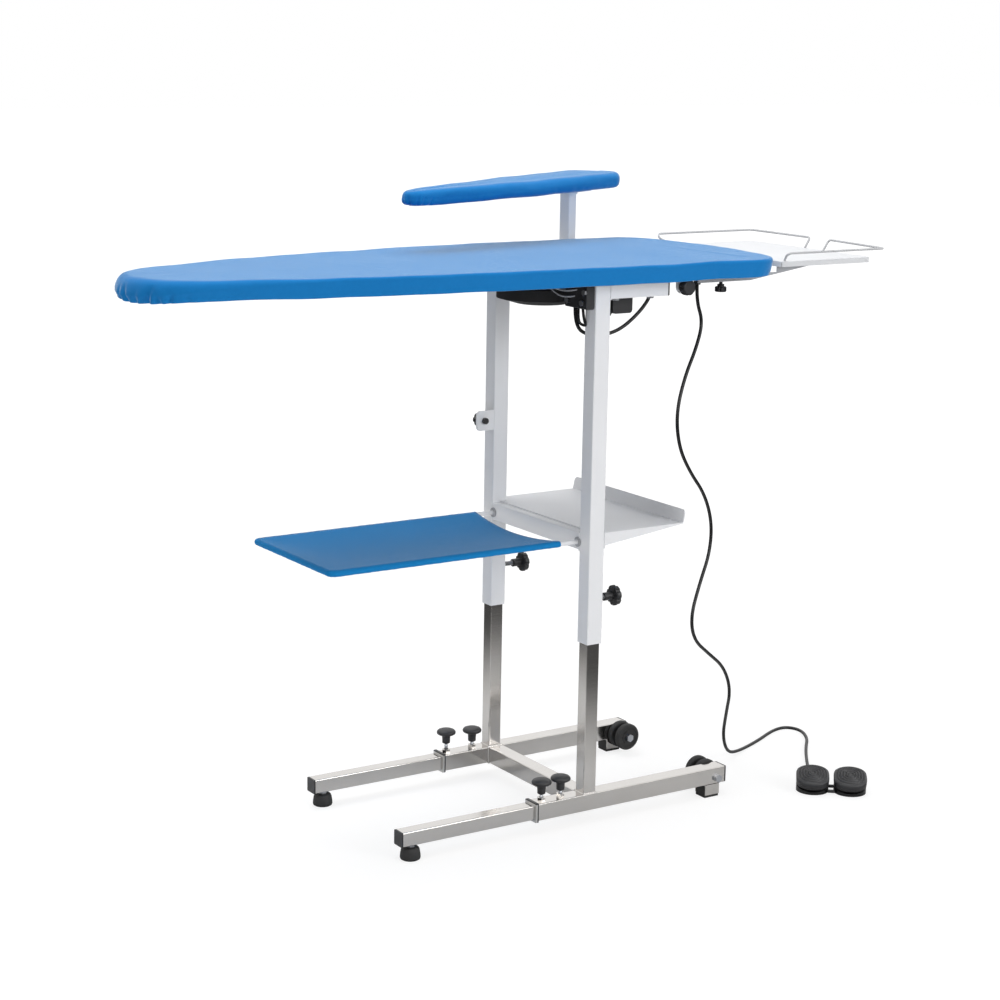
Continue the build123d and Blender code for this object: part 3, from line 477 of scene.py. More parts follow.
def add_mesh(
    name: str,
    points: Sequence[Sequence[float]],
    faces: Sequence[Sequence[int]],
    material: Material,
    smooth: bool = True,
) -> Piece:
    """Mesh object in the scene.

    Args:
        name: Name of the piece.
        points: Vertex places.
        faces: Vertex numbers of each face.
        material: Its finish.
        smooth: Whether its faces are shaded smooth.

    Returns:
        The new object.
    """
    mesh = bpy.data.meshes.new(name)
    mesh.from_pydata([tuple(point) for point in points], [], faces)
    mesh.validate()
    mesh.polygons.foreach_set("use_smooth", [smooth] * len(mesh.polygons))
    mesh.materials.append(material)
    piece = bpy.data.objects.new(name, mesh)
    bpy.context.collection.objects.link(piece)
    log.info("piece %s: %d faces", name, len(mesh.polygons))
    return piece


def mount(piece: Piece, body: str, node: str = "") -> None:
    """Let a piece ride on a body and put it in place of a node.

    Args:
        piece: The piece.
        body: The body that carries it.
        node: The node that it replaces, if any.
    """
    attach(piece, body)
    if node:
        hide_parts(node)


def add_wall(piece: Piece, thickness: float, offset: float) -> None:
    """Give a sheet its thickness, on one side or about its middle."""
    wall = piece.modifiers.new("cloth_wall", "SOLIDIFY")
    wall.thickness = thickness
    wall.offset = offset


def ring_faces(count: int, size: int, closed: bool = False, capped: bool = True) -> list[list[int]]:
    """Faces of a body whose points come ring after ring.

    Args:
        count: Number of rings.
        size: Points of each ring.
        closed: Whether the last ring joins the first.
        capped: Whether the two end rings are filled, where they don't join.

    Returns:
        Vertex numbers of each face.
    """
    faces = []
    for ring in range(count if closed else count - 1):
        first = ring * size
        second = (ring + 1) % count * size
        for index in range(size):
            after = (index + 1) % size
            faces.append([first + index, first + after, second + after, second + index])
    if capped and not closed:
        faces.append(list(range(size))[::-1])
        faces.append(list(range((count - 1) * size, count * size)))
    return faces


def smooth_route(points: Sequence[Vector]) -> list[Vector]:
    """Points along a smooth line that a route controls.

    Args:
        points: The route's points.

    Returns:
        Points read from a NURBS spline with those points as its control points.
    """
    data = bpy.data.curves.new("route", "CURVE")
    data.dimensions = "3D"
    data.resolution_u = 10
    spline = data.splines.new("NURBS")
    spline.points.add(len(points) - 1)
    for target, point in zip(spline.points, points):
        target.co = (*point, 1.0)
    spline.order_u = 3
    spline.use_endpoint_u = True
    holder = bpy.data.objects.new("route", data)
    bpy.context.collection.objects.link(holder)
    bpy.context.view_layer.update()
    mesh = bpy.data.meshes.new_from_object(holder.evaluated_get(bpy.context.evaluated_depsgraph_get()))
    line = [vertex.co.copy() for vertex in mesh.vertices]
    bpy.data.objects.remove(holder)
    bpy.data.curves.remove(data)
    bpy.data.meshes.remove(mesh)
    return line


def add_tube(
    name: str,
    line: Sequence[Vector],
    radius: Callable[[int], float],
    sides: int,
    material: Material,
    closed: bool = False,
) -> Piece:
    """Tube along a line, with capped ends unless it is closed.

    Args:
        name: Name of the piece.
        line: The points that it follows.
        radius: Radius at each point's number.
        sides: Corners of its section.
        material: Its finish.
        closed: Whether its ends meet.

    Returns:
        The new object.
    """
    count = len(line)
    points: list[Vector] = []
    normal = None
    for index, here in enumerate(line):
        after = line[(index + 1) % count] if closed or index + 1 < count else here
        before = line[index - 1] if closed or index else here
        along = (after - before).normalized()
        if normal is None:
            normal = along.orthogonal()
        normal = (normal - along * normal.dot(along)).normalized()
        other = along.cross(normal)
        for corner in range(sides):
            angle = 2 * math.pi * corner / sides
            points.append(here + (normal * math.cos(angle) + other * math.sin(angle)) * radius(index))
    return add_mesh(name, points, ring_faces(count, sides, closed), material)


@dataclass(frozen=True)
class TaperedOutline:
    """Board seen from above, of tangent arcs, in metres from its own zero on the centre line."""

    nose: float
    tail: float
    half_width: float
    nose_radius: float
    widest: float
    corner_radius: float
    tail_radius: float

    MOVED_BY_INSET = ("nose", "tail", "half_width", "nose_radius", "corner_radius", "tail_radius")

    def inset(self, depth: float) -> "TaperedOutline":
        """Outline that runs inside this one, parallel to it at a depth."""
        return replace(self, **{label: getattr(self, label) - depth for label in self.MOVED_BY_INSET})

    def arcs(self) -> list[tuple[float, ...]]:
        """Runs of the +Y half from the nose's tip to the middle of the tail.

        Returns:
            Centre, radius, start and end angle of each arc; a straight run has no radius, and its length
            in place of the start angle.
        """
        nose_x = self.nose_radius - self.nose
        run = self.widest - nose_x
        square = run ** 2 + self.half_width ** 2 - self.nose_radius ** 2
        side_radius = square / (2 * (self.half_width - self.nose_radius))
        side_y = self.half_width - side_radius
        nose_turn = math.atan2(-side_y, nose_x - self.widest)
        tail_x = self.tail - self.tail_radius
        corner_y = self.half_width - self.corner_radius
        corner_x = tail_x + math.sqrt((self.tail_radius - self.corner_radius) ** 2 - corner_y ** 2)
        tail_turn = math.atan2(corner_y, corner_x - tail_x)
        up = math.pi / 2
        return [
            (nose_x, 0.0, self.nose_radius, math.pi, nose_turn),
            (self.widest, side_y, side_radius, nose_turn, up),
            (self.widest, self.half_width, 0.0, corner_x - self.widest, up),
            (corner_x, corner_y, self.corner_radius, up, tail_turn),
            (tail_x, 0.0, self.tail_radius, tail_turn, 0.0),
        ]

    def half(self, count: int) -> list[tuple[Vector, Vector, float]]:
        """Points round the +Y half from the nose's tip to the middle of the tail.

        Args:
            count: Number of points, evenly spaced along the edge.

        Returns:
            Place, outward direction and distance along the edge of each point.
        """
        arcs = self.arcs()
        lengths = [abs(arc[3] - arc[4]) * arc[2] if arc[2] else arc[3] for arc in arcs]
        total = sum(lengths)
        result = []
        for number in range(count):
            distance = total * number / (count - 1)
            rest = distance
            index = 0
            while index < len(arcs) - 1 and rest > lengths[index]:
                rest -= lengths[index]
                index += 1
            x, y, radius, start, end = arcs[index]
            share = min(rest / lengths[index], 1.0)
            angle = start + (end - start) * share if radius else end
            out = Vector((math.cos(angle), math.sin(angle), 0.0))
            place = Vector((x, y, 0.0)) + out * radius
            if not radius:
                place.x += rest
            result.append((place, out, distance))
        return result

    def ring(self, count: int) -> list[tuple[Vector, Vector, float]]:
        """Points round the whole edge, starting at the nose's tip and going along +Y.

        Args:
            count: Number of points on each half.

        Returns:
            Place, outward direction and signed distance from the nose's tip of each point.
        """
        upper = self.half(count)
        lower = []
        for place, out, distance in reversed(upper[1:-1]):
            lower.append((Vector((place.x, -place.y, 0.0)), Vector((out.x, -out.y, 0.0)), -distance))
        return upper + lower


@dataclass(frozen=True)
class Pleat:
    """One gathered fold of a cover: its place on the edge, width, depth, reach up the side and slant."""

    place: float
    width: float
    depth: float
    reach: float
    slant: float

    FURTHEST = 6
    FADE = 0.8
    BULGE = 0.4
    BULGE_WIDTH = 2.4

    def dent(self, distance: float, share: float) -> float:
        """Depth of the fold at a point of the cover.

        Args:
            distance: Signed distance of its edge point from the nose.
            share: Its share of the cover's height.

        Returns:
            How far the point is drawn in; a little below zero beside the fold, where the cloth bulges.
        """
        offset = (distance - self.place - self.slant * share) / self.width
        if abs(offset) > self.FURTHEST or share > self.reach:
            return 0.0
        fade = (1.0 - share / self.reach) ** self.FADE
        bulge = self.BULGE * math.exp(-(offset / self.BULGE_WIDTH) ** 2)
        return self.depth * fade * (math.exp(-offset * offset) - bulge)


@dataclass
class FittedCover:
    """Cotton cover drawn over a pad: a gathered hem below, a soft side, a rounded rim and a crowned top."""

    name: str
    outline: TaperedOutline
    low: float
    high: float
    rim: float
    nose_rim: float
    hem: float
    hem_rounding: float
    crown: float
    wave: float
    undercut: float = 0.0
    droop: float = 0.0
    nose_sag: float = 0.0
    nose_height: float = 1.0
    pleat_depth: float = 0.0
    pleat_pitch: float = 0.03
    folds: Sequence[Pleat] = ()
    count: int = 380
    fill_steps: int = 9
    closed: bool = False

    SEED = 11
    # Ranges that each shallow fold's share of the pitch and depth, width, reach and slant are drawn from.
    PITCH_SHARES = (0.5, 1.6)
    DEPTH_SHARES = (0.2, 1.0)
    FOLD_WIDTHS = (0.004, 0.009)
    FOLD_REACHES = (0.3, 0.6)
    FOLD_SLANTS = (-0.02, 0.02)
    CLOTH = 0.0012
    NOSE_REACH = 1.7
    HEM_SHARES = (0.96, 0.6)
    HEM_STEPS = 3
    SIDE_STEPS = 6
    RIM_STEPS = 7
    TOP_SHARES = (0.12, 0.3, 0.6, 1.0)
    TOP_SPAN = 0.9
    # Each wave's strength, its turns along the edge and up the side, and its seed.
    WAVES = ((1.0, 9.0, 1.5, 1.3), (0.35, 31.0, 3.0, 4.1))
    LIFT = 0.8
    LIFT_TURNS = 11.0
    SAG_PACE = 2.2
    SAG_SHIFT = 0.05
    SAG_FADE = 1.4
    DROOP_POWER = 1.5
    NOSE_MIDDLE = 1.02
    TAIL_MIDDLE = 1.6
    CROWN_RUN = 4
    ROLL = 0.5
    ROLL_TURNS = 7.0
    ROLL_SEED = 5.0
    WELD = 0.0003
    SLIVER = 0.0001

    def pleats(self) -> list[Pleat]:
        """Folds round the hem: the given ones, and shallow ones all along.

        Returns:
            The folds, the same ones on every run.
        """
        chance = random.Random(self.SEED)
        reach = self.outline.half(3)[-1][2]
        made = list(self.folds)
        place = -reach
        while self.pleat_depth and place < reach:
            place += self.pleat_pitch * chance.uniform(*self.PITCH_SHARES)
            depth = self.pleat_depth * chance.uniform(*self.DEPTH_SHARES)
            width = chance.uniform(*self.FOLD_WIDTHS)
            rise = chance.uniform(*self.FOLD_REACHES)
            made.append(Pleat(place, width, depth, rise, chance.uniform(*self.FOLD_SLANTS)))
        return made

    def near_nose(self, distance: float) -> float:
        """Share from 1 at the nose's tip to 0 on the sides."""
        return math.exp(-(distance / (self.NOSE_REACH * self.outline.nose_radius)) ** 2)

    def profile(self, distance: float) -> list[Point]:
        """Section from the hem to the flat of the top at one place on the edge.

        Args:
            distance: Signed distance from the nose along the edge.

        Returns:
            Inset from the edge, height, and share of the height of each point.
        """
        tip = self.near_nose(distance)
        rim = self.rim + (self.nose_rim - self.rim) * tip
        tall = (self.high - self.low) * (1 - (1 - self.nose_height) * tip)
        turn = self.hem_rounding
        points = [(self.hem, self.CLOTH)]
        points += [(self.hem * share, 0.0) for share in self.HEM_SHARES]
        for step in range(self.HEM_STEPS + 1):
            angle = math.pi / 2 * step / self.HEM_STEPS
            points.append((self.undercut + turn * (1 - math.sin(angle)), turn * (1 - math.cos(angle))))
        for step in range(1, self.SIDE_STEPS):
            share = step / self.SIDE_STEPS
            points.append((self.undercut * (1 - share), turn + (tall - rim - turn) * share))
        for step in range(self.RIM_STEPS + 1):
            angle = math.pi / 2 * step / self.RIM_STEPS
            points.append((rim * (1 - math.cos(angle)), tall - rim + rim * math.sin(angle)))
        span = min(self.outline.corner_radius, self.outline.nose_radius) * self.TOP_SPAN
        for share in self.TOP_SHARES:
            points.append((rim + (span - rim) * share, tall))
        base = self.low + (self.high - self.low - tall) / 2
        return [(inset, base + z, z / tall) for inset, z in points]

    def moved(
        self, place: Vector, out: Vector, distance: float, share: float, folds: Sequence[Pleat]
    ) -> Vector:
        """Place of a point once the cloth is gathered, pulled and creased.

        Args:
            place: The point on the plain form.
            out: Direction away from the middle.
            distance: Signed distance of its edge point from the nose.
            share: Its share of the cover's height.
            folds: The gathered folds.

        Returns:
            The new place.
        """
        shift = -sum(fold.dent(distance, share) for fold in folds)
        for strength, along, up, seed in self.WAVES:
            shift += strength * self.wave * noise.noise(Vector((distance * along, share * up, seed)))
        turns = Vector((distance * self.LIFT_TURNS, self.LIFT_TURNS, 0.0))
        lift = self.wave * self.LIFT * noise.noise(turns)
        sag = self.nose_sag * self.near_nose(self.SAG_PACE * distance + self.SAG_SHIFT)
        lift -= sag * max(0.0, 1.0 - self.SAG_FADE * share)
        return place + out * shift + Vector((0.0, 0.0, lift))

    def drooped(self, point: Vector) -> Vector:
        """Point lowered towards the nose."""
        share = max(0.0, -point.x) / self.outline.nose
        return point - Vector((0.0, 0.0, self.droop * share ** self.DROOP_POWER))

    def filled(self, ring: Sequence[Vector], plain: Sequence[Vector], crown: float) -> list[Vector]:
        """Rings that close a ring towards the centre line.

        Args:
            ring: The ring to start from.
            plain: The edge's points without waves, alike on both sides.
            crown: Rise of the middle.

        Returns:
            The points of the closing rings, ring after ring.
        """
        left = -self.outline.nose + self.outline.nose_radius * self.NOSE_MIDDLE
        right = self.outline.tail - self.outline.corner_radius * self.TAIL_MIDDLE
        middles = [min(max(even.x, left), right) for even in plain]
        levels: dict[float, list[float]] = {}
        for outer, x in zip(ring, middles):
            levels.setdefault(round(x, 5), []).append(outer.z)
        points = []
        for step in range(1, self.fill_steps + 1):
            share = step / self.fill_steps
            rise = crown * share ** 2 * (3 - 2 * share)
            for outer, x in zip(ring, middles):
                heights = levels[round(x, 5)]
                here = outer.lerp(Vector((x, 0.0, sum(heights) / len(heights))), share)
                full = min(1.0, (x + self.outline.nose) / (self.CROWN_RUN * self.outline.nose_radius))
                turns = Vector((here.x * self.ROLL_TURNS, here.y * self.ROLL_TURNS, self.ROLL_SEED))
                roll = self.wave * self.ROLL * noise.noise(turns)
                points.append(here + Vector((0.0, 0.0, rise * full + roll * share)))
        return points

    def build(self, to_frame: Matrix, material: Material) -> Piece:
        """Make the cover's mesh.

        Args:
            to_frame: Places the outline in the frame.
            material: Its cloth.

        Returns:
            The cover, with a thin wall if it is open below.
        """
        edge = self.outline.ring(self.count)
        size = len(edge)
        plain = [place for place, out, distance in edge]
        folds = self.pleats()
        columns = []
        for place, out, distance in edge:
            column = []
            for inset, z, share in self.profile(distance):
                start = place - out * inset + Vector((0.0, 0.0, z))
                column.append(self.moved(start, out, distance, share, folds))
            columns.append(column)
        points = [column[level] for level in range(len(columns[0])) for column in columns]
        if self.closed:
            below = self.filled(points[:size], plain, 0.0)
            rings = [below[start:start + size] for start in range(0, len(below), size)]
            points = [point for ring in reversed(rings) for point in ring] + points
        points += self.filled(points[-size:], plain, self.crown)
        faces = ring_faces(len(points) // size, size, capped=False)
        piece = add_mesh(self.name, [to_frame @ self.drooped(point) for point in points], faces, material)
        form = bmesh.new()
        form.from_mesh(piece.data)
        bmesh.ops.remove_doubles(form, verts=form.verts, dist=self.WELD)
        bmesh.ops.dissolve_degenerate(form, edges=form.edges, dist=self.SLIVER)
        bmesh.ops.recalc_face_normals(form, faces=form.faces)
        form.to_mesh(piece.data)
        form.free()
        if not self.closed:
            add_wall(piece, self.CLOTH, -1.0)
        return piece


@dataclass
class Board:
    """Soft parts of the main board: the cotton cover and the felt under it."""

    datum: Datum
    finishes: Finishes
    top: float = 0.961
    height: float = 0.0305
    felt_low: float = 0.9515
    felt_high: float = 0.9588
    felt_inset: float = 0.014
    droop: float = 0.003
    outline: TaperedOutline = TaperedOutline(0.774, 0.366, 0.218, 0.120, 0.030, 0.060, 0.600)

    NOSE_FOLDS = (
        Pleat(-0.012, 0.0060, 0.0080, 0.65, 0.012),
        Pleat(-0.034, 0.0060, 0.0050, 0.50, -0.010),
        Pleat(-0.055, 0.0075, 0.0130, 0.75, -0.020),
        Pleat(-0.080, 0.0055, 0.0075, 0.50, 0.008),
        Pleat(-0.096, 0.0050, 0.0070, 0.55, -0.014),
        Pleat(-0.128, 0.0070, 0.0035, 0.45, 0.010),
        Pleat(0.014, 0.0060, 0.0070, 0.60, -0.008),
        Pleat(0.046, 0.0060, 0.0090, 0.65, 0.014),
        Pleat(0.083, 0.0060, 0.0060, 0.50, 0.010),
    )

    def build(self) -> None:
        """Make the cover and the felt, and put them in place of the plain solids."""
        place = Matrix.Translation(self.datum.at(0, 0, 0))
        cover = FittedCover(
            name="cotton_cover",
            outline=self.outline,
            low=self.top - self.height,
            high=self.top,
            rim=0.0045,
            nose_rim=0.022,
            hem=0.034,
            hem_rounding=0.003,
            crown=0.0015,
            wave=0.0018,
            undercut=0.005,
            droop=self.droop,
            nose_sag=0.007,
            pleat_depth=0.0012,
            pleat_pitch=0.04,
            folds=self.NOSE_FOLDS,
            count=620,
        ).build(place, self.finishes.by_slot[Slot.COTTON])
        mount(cover, "upper", "board_cover")
        felt = FittedCover(
            name="felt_layer",
            outline=self.outline.inset(self.felt_inset),
            low=self.felt_low,
            high=self.felt_high,
            rim=0.004,
            nose_rim=0.004,
            hem=0.030,
            hem_rounding=0.001,
            crown=0.0,
            wave=0.0,
            droop=self.droop,
            count=160,
            closed=True,
        ).build(place, self.finishes.by_slot[Slot.FELT])
        mount(felt, "upper", "felt_pad")


@dataclass
class SleeveBoard:
    """Padded sleeve board on its swivelling post."""

    datum: Datum
    finishes: Finishes
    pivot: Point = (214.0, 251.0, 1049.0)
    yaw: float = 19.0
    lean: float = -1.2
    low: float = -0.0007
    high: float = 0.027
    outline: TaperedOutline = TaperedOutline(0.455, 0.110, 0.058, 0.024, 0.040, 0.040, 0.140)

    TIP_FOLDS = (
        Pleat(-0.006, 0.0028, 0.0045, 0.75, 0.004),
        Pleat(-0.019, 0.0026, 0.0050, 0.80, -0.005),
        Pleat(-0.031, 0.0030, 0.0040, 0.65, -0.007),
        Pleat(-0.047, 0.0035, 0.0030, 0.60, -0.010),
        Pleat(0.009, 0.0028, 0.0045, 0.70, 0.003),
        Pleat(0.026, 0.0030, 0.0040, 0.65, 0.006),
    )

    def build(self) -> None:
        """Make the padded cover with pleats drawn together at its tip."""
        place = Matrix.Translation(self.datum.at(*self.pivot))
        place = place @ Matrix.Rotation(math.radians(self.yaw), 4, "Z")
        place = place @ Matrix.Rotation(math.radians(self.lean), 4, "Y")
        pad = FittedCover(
            name="sleeve_cover",
            outline=self.outline,
            low=self.low,
            high=self.high,
            rim=0.0130,
            nose_rim=0.0105,
            hem=0.020,
            hem_rounding=0.0095,
            crown=0.002,
            wave=0.0020,
            nose_height=0.84,
            pleat_depth=0.0012,
            pleat_pitch=0.03,
            folds=self.TIP_FOLDS,
            count=300,
            closed=True,
        ).build(place, self.finishes.by_slot[Slot.COTTON])
        mount(pad, "sleeve_board", "sleeve_pad")


@dataclass(frozen=True)
class Settling:
    """Cloth simulation that lets a sheet hang from its pinned points."""

    frames: int = 40
    furthest: float = 0.03
    quality: int = 8
    mass: float = 0.25
    stiffness: float = 80.0
    bending: float = 0.6

    def run(self, piece: Piece, pinned: Sequence[int]) -> None:
        """Settle a sheet and keep the result as its mesh.

        Args:
            piece: The sheet.
            pinned: Numbers of the points that stay.
        """
        group = piece.vertex_groups.new(name="pinned")
        group.add(list(pinned), 1.0, "REPLACE")
        cloth = piece.modifiers.new("cloth", "CLOTH")
        cloth.settings.vertex_group_mass = "pinned"
        cloth.settings.quality = self.quality
        cloth.settings.mass = self.mass
        cloth.settings.tension_stiffness = self.stiffness
        cloth.settings.compression_stiffness = self.stiffness
        cloth.settings.bending_stiffness = self.bending
        cloth.collision_settings.use_collision = False
        cloth.collision_settings.use_self_collision = False
        cloth.point_cache.frame_start = 1
        cloth.point_cache.frame_end = self.frames
        scene = bpy.context.scene
        for number in range(1, self.frames + 1):
            scene.frame_set(number)
        shown = piece.evaluated_get(bpy.context.evaluated_depsgraph_get())
        places = [vertex.co.copy() for vertex in shown.data.vertices]
        piece.modifiers.remove(cloth)
        scene.frame_set(1)
        for vertex, place in zip(piece.data.vertices, places):
            step = place - vertex.co
            if step.length > self.furthest:
                step = step.normalized() * self.furthest
            vertex.co = vertex.co + step
        piece.data.update()


@dataclass
class ClothRack:
    """Cloth stretched in the sliding rack below the board, hemmed round three sides of its rod."""

    datum: Datum
    finishes: Finishes
    front: float = -486.0
    rear: float = -53.0
    half_width: float = 131.0
    bend: float = 10.0
    height: float = 491.5
    hem_radius: float = 5.2 * MM
    along: int = 64
    across: int = 44
    bow: float = 6.0

    SUNK = 0.5
    CROWDING = 1.25
    BOW_POWER = 4
    RIPPLE = 0.6
    RIPPLE_PACE = 0.02
    RIPPLE_ROWS = 4.0
    RIPPLE_SEED = 2.0
    RIPPLE_START = 6
    CLOTH = 0.0011
    # Depth and pace of each row of puckers in the hem.
    PUCKERS = ((0.025, 1.9), (0.02, 0.7))
    CORNER_STEPS = 9
    STEP = 5.0
    HEM_SIDES = 12

    def top(self) -> float:
        """Height at which the cloth leaves the hem round the rod, in millimetres."""
        return self.height + self.hem_radius / MM - self.SUNK

    def width_at(self, x: float) -> float:
        """Half width between the rods at a place along the rack, in millimetres."""
        past = self.front + self.bend - x
        if past <= 0:
            return self.half_width
        return self.half_width - self.bend + math.sqrt(max(0.0, self.bend ** 2 - past ** 2))

    def panel(self) -> Piece:
        """Cloth between the rods, settled under its own weight."""
        points = []
        for column in range(self.along + 1):
            share = column / self.along
            straight = self.front + (self.rear - self.front) * share ** self.CROWDING
            for row in range(self.across + 1):
                part = 2 * row / self.across - 1
                x = straight - self.bow * share ** self.BOW_POWER * (1 - part ** 2)
                turns = Vector((x * self.RIPPLE_PACE, part * self.RIPPLE_ROWS, self.RIPPLE_SEED))
                ripple = self.RIPPLE * noise.noise(turns)
                edge = (1 - abs(part)) * min(1.0, self.RIPPLE_START * share)
                points.append(self.datum.at(x, self.width_at(x) * part, self.top() + ripple * edge))
        row_size = self.across + 1
        faces = []
        for column in range(self.along):
            for row in range(self.across):
                corner = column * row_size + row
                faces.append([corner, corner + row_size, corner + row_size + 1, corner + 1])
        piece = add_mesh("rack_sheet", points, faces, self.finishes.by_node["rack_cloth"])
        held = set(range(row_size))
        for column in range(self.along + 1):
            held.add(column * row_size)
            held.add(column * row_size + self.across)
        Settling().run(piece, sorted(held))
        add_wall(piece, self.CLOTH, 0.0)
        return piece

    def hem(self) -> Piece:
        """Hem that runs round the rod on three sides, with small puckers."""
        half = [(x, -self.half_width) for x in self.steps(self.rear, self.front + self.bend)]
        reach = self.half_width - self.bend
        for step in range(1, self.CORNER_STEPS):
            turn = math.pi / 2 * step / self.CORNER_STEPS
            x = self.front + self.bend - self.bend * math.sin(turn)
            half.append((x, -reach - self.bend * math.cos(turn)))
        route = half + [(self.front, y) for y in self.steps(-reach, reach)]
        route += [(x, -y) for x, y in reversed(half)]
        line = [self.datum.at(x, y, self.height) for x, y in route]

        def radius(index: int) -> float:
            return self.hem_radius * (1 + sum(depth * math.sin(index * pace) for depth, pace in self.PUCKERS))

        return add_tube("rack_hem", line, radius, self.HEM_SIDES, self.finishes.by_node["rack_cloth"])

    def steps(self, start: float, end: float) -> list[float]:
        """Evenly spaced places between two values, both ends counted."""
        count = max(2, round(abs(end - start) / self.STEP))
        return [start + (end - start) * number / count for number in range(count + 1)]

    def build(self) -> None:
        sheet = self.panel()
        hem = self.hem()
        mount(sheet, "rack", "rack_cloth")
        mount(hem, "rack")


@dataclass
class Cords:
    """Flexible cords: the foot switches' cord, the fan's cable and the small leads beside it."""

    datum: Datum
    finishes: Finishes
    diameter: float = 0.006

    SIDES = 14
    PEDAL_ROUTE = (
        (226, -122, 912), (226, -122, 884), (249, -112, 846), (226, -127, 806), (182, -152, 758),
        (158, -164, 700), (172, -157, 640), (219, -130, 588), (278, -98, 538), (312, -79, 480),
        (308, -81, 425), (272, -101, 378), (240, -119, 325), (256, -110, 278), (318, -75, 236),
        (385, -38, 192), (420, -18, 138), (404, -27, 96), (392, -34, 56), (416, -20, 16),
        (464, 6, 3.05), (536, 36, 3.05), (602, 72, 3.05), (640, 78, 3.05), (654, 48, 3.05),
        (632, 2, 3.05), (588, -44, 3.05), (542, -100, 3.05), (497, -159, 6), (470.2, -197.2, 6),
    )
    FAN_ROUTE = (
        (138, -118, 932), (136, -118, 905), (112, -118, 872), (62, -118, 838), (6, -118, 836),
        (-23, -118, 854), (-23, -118, 886),
    )
    LEADS = (
        (Slot.CORD, 0.0048, (
            (-23, -140, 887), (-22, -141, 866), (-4, -134, 846), (26, -122, 846), (56, -110, 873),
        )),
        (Slot.CORD, 0.0048, (
            (-24, -129, 887), (-25, -129, 872), (-14, -120, 856), (14, -112, 852), (50, -100, 873),
        )),
        (Slot.GREY, 0.0026, ((-58, -50, 929), (-50, -82, 918), (-38, -112, 911), (-30, -134, 917))),
        (Slot.GREY, 0.0026, ((-44, -44, 929), (-42, -80, 908), (-38, -110, 901), (-30, -128, 906))),
    )
    STILL_BELOW = (300, -80, 20)
    LIFTED_ABOVE = (300, -80, 900)

    def make(self, name: str, route: Sequence[Point], diameter: float, slot: Slot) -> Piece:
        """Cord along a route.

        Args:
            name: Name of the piece.
            route: Control points in millimetres from the datum.
            diameter: Its thickness.
            slot: Its finish.

        Returns:
            The cord.
        """
        line = smooth_route([self.datum.at(*point) for point in route])
        piece = add_tube(name, line, lambda index: diameter / 2, self.SIDES, self.finishes.by_slot[slot])
        return piece

    def build(self) -> None:
        """Make the cord, and the cable and leads that rise with the frame."""
        pedal = self.make("switch_cord", self.PEDAL_ROUTE, self.diameter, Slot.CORD)
        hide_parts("pedal_cord")
        self.datum.at(*self.STILL_BELOW)
        self.datum.at(*self.LIFTED_ABOVE)
        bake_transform(pedal)
        cable = self.make("fan_lead", self.FAN_ROUTE, self.diameter, Slot.CORD)
        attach(cable, "upper")
        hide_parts("fan_cable")
        for number, (slot, diameter, route) in enumerate(self.LEADS):
            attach(self.make(f"bracket_lead_{number}", route, diameter, slot), "upper")


@dataclass
class Welds:
    """Weld beads where the square tubes meet."""

    datum: Datum
    finishes: Finishes
    half_spacing: float = 150.0
    outer: float = 15.0
    inner: float = 12.5
    bead: float = 1.7 * MM
    pitch: float = 1.6 * MM
    rail_top: float = 54.0
    beam_low: float = 24.0
    crossbar_low: float = 478.0
    crossbar_high: float = 508.0
    arm_low: float = 902.0
    arm_high: float = 931.0

    SIDES = 8
    LEVEL = 0.92
    RIPPLE = 0.16
    RIPPLE_PACE = 2.1
    CHANCE = 0.1
    CHANCE_PACE = 0.37

    def run(self, name: str, corners: Sequence[Point], closed: bool, slot: Slot, body: str) -> None:
        """Bead along straight runs between corners.

        Args:
            name: Name of the piece.
            corners: Corners in millimetres from the datum.
            closed: Whether the last corner joins the first.
            slot: Finish of the welded tube.
            body: Body that it rides on.
        """
        places = [self.datum.at(*corner) for corner in corners]
        ends = places[1:] + places[:1] if closed else places[1:]
        line = []
        for start, end in zip(places, ends):
            count = max(2, round((end - start).length / self.pitch))
            line += [start.lerp(end, step / count) for step in range(count)]
        if not closed:
            line.append(places[-1])

        def radius(index: int) -> float:
            chance = self.CHANCE * noise.noise(Vector((index * self.CHANCE_PACE, 0, 0)))
            return self.bead * (self.LEVEL + self.RIPPLE * math.sin(index * self.RIPPLE_PACE) + chance)

        mount(add_tube(name, line, radius, self.SIDES, self.finishes.by_slot[slot], closed), body)

    def build(self) -> None:
        """Make the beads of the base and of the upper frame."""
        for side in Side:
            word = side.name.lower()
            y = side.value * self.half_spacing
            foot = self.inner
            edge = self.outer
            inside = y - side.value * edge
            square = [(-foot, y - foot), (foot, y - foot), (foot, y + foot), (-foot, y + foot)]
            post = [(x, place, self.rail_top) for x, place in square]
            self.run(f"weld_post_foot_{word}", post, True, Slot.STEEL, "base")
            low, high = self.beam_low, self.rail_top
            beam = [(-edge, inside, low), (edge, inside, low), (edge, inside, high), (-edge, inside, high)]
            self.run(f"weld_beam_{word}", beam, True, Slot.STEEL, "base")
            low, high = self.crossbar_low, self.crossbar_high
            bar = [(-edge, inside, high), (-edge, inside, low), (edge, inside, low), (edge, inside, high)]
            self.run(f"weld_crossbar_{word}", bar, False, Slot.WHITE, "upper")
            low, high = self.arm_low, self.arm_high
            left, right = y - edge, y + edge
            arm = [(edge, left, high), (edge, left, low), (edge, right, low), (edge, right, high)]
            self.run(f"weld_arm_{word}", arm, False, Slot.WHITE, "upper")


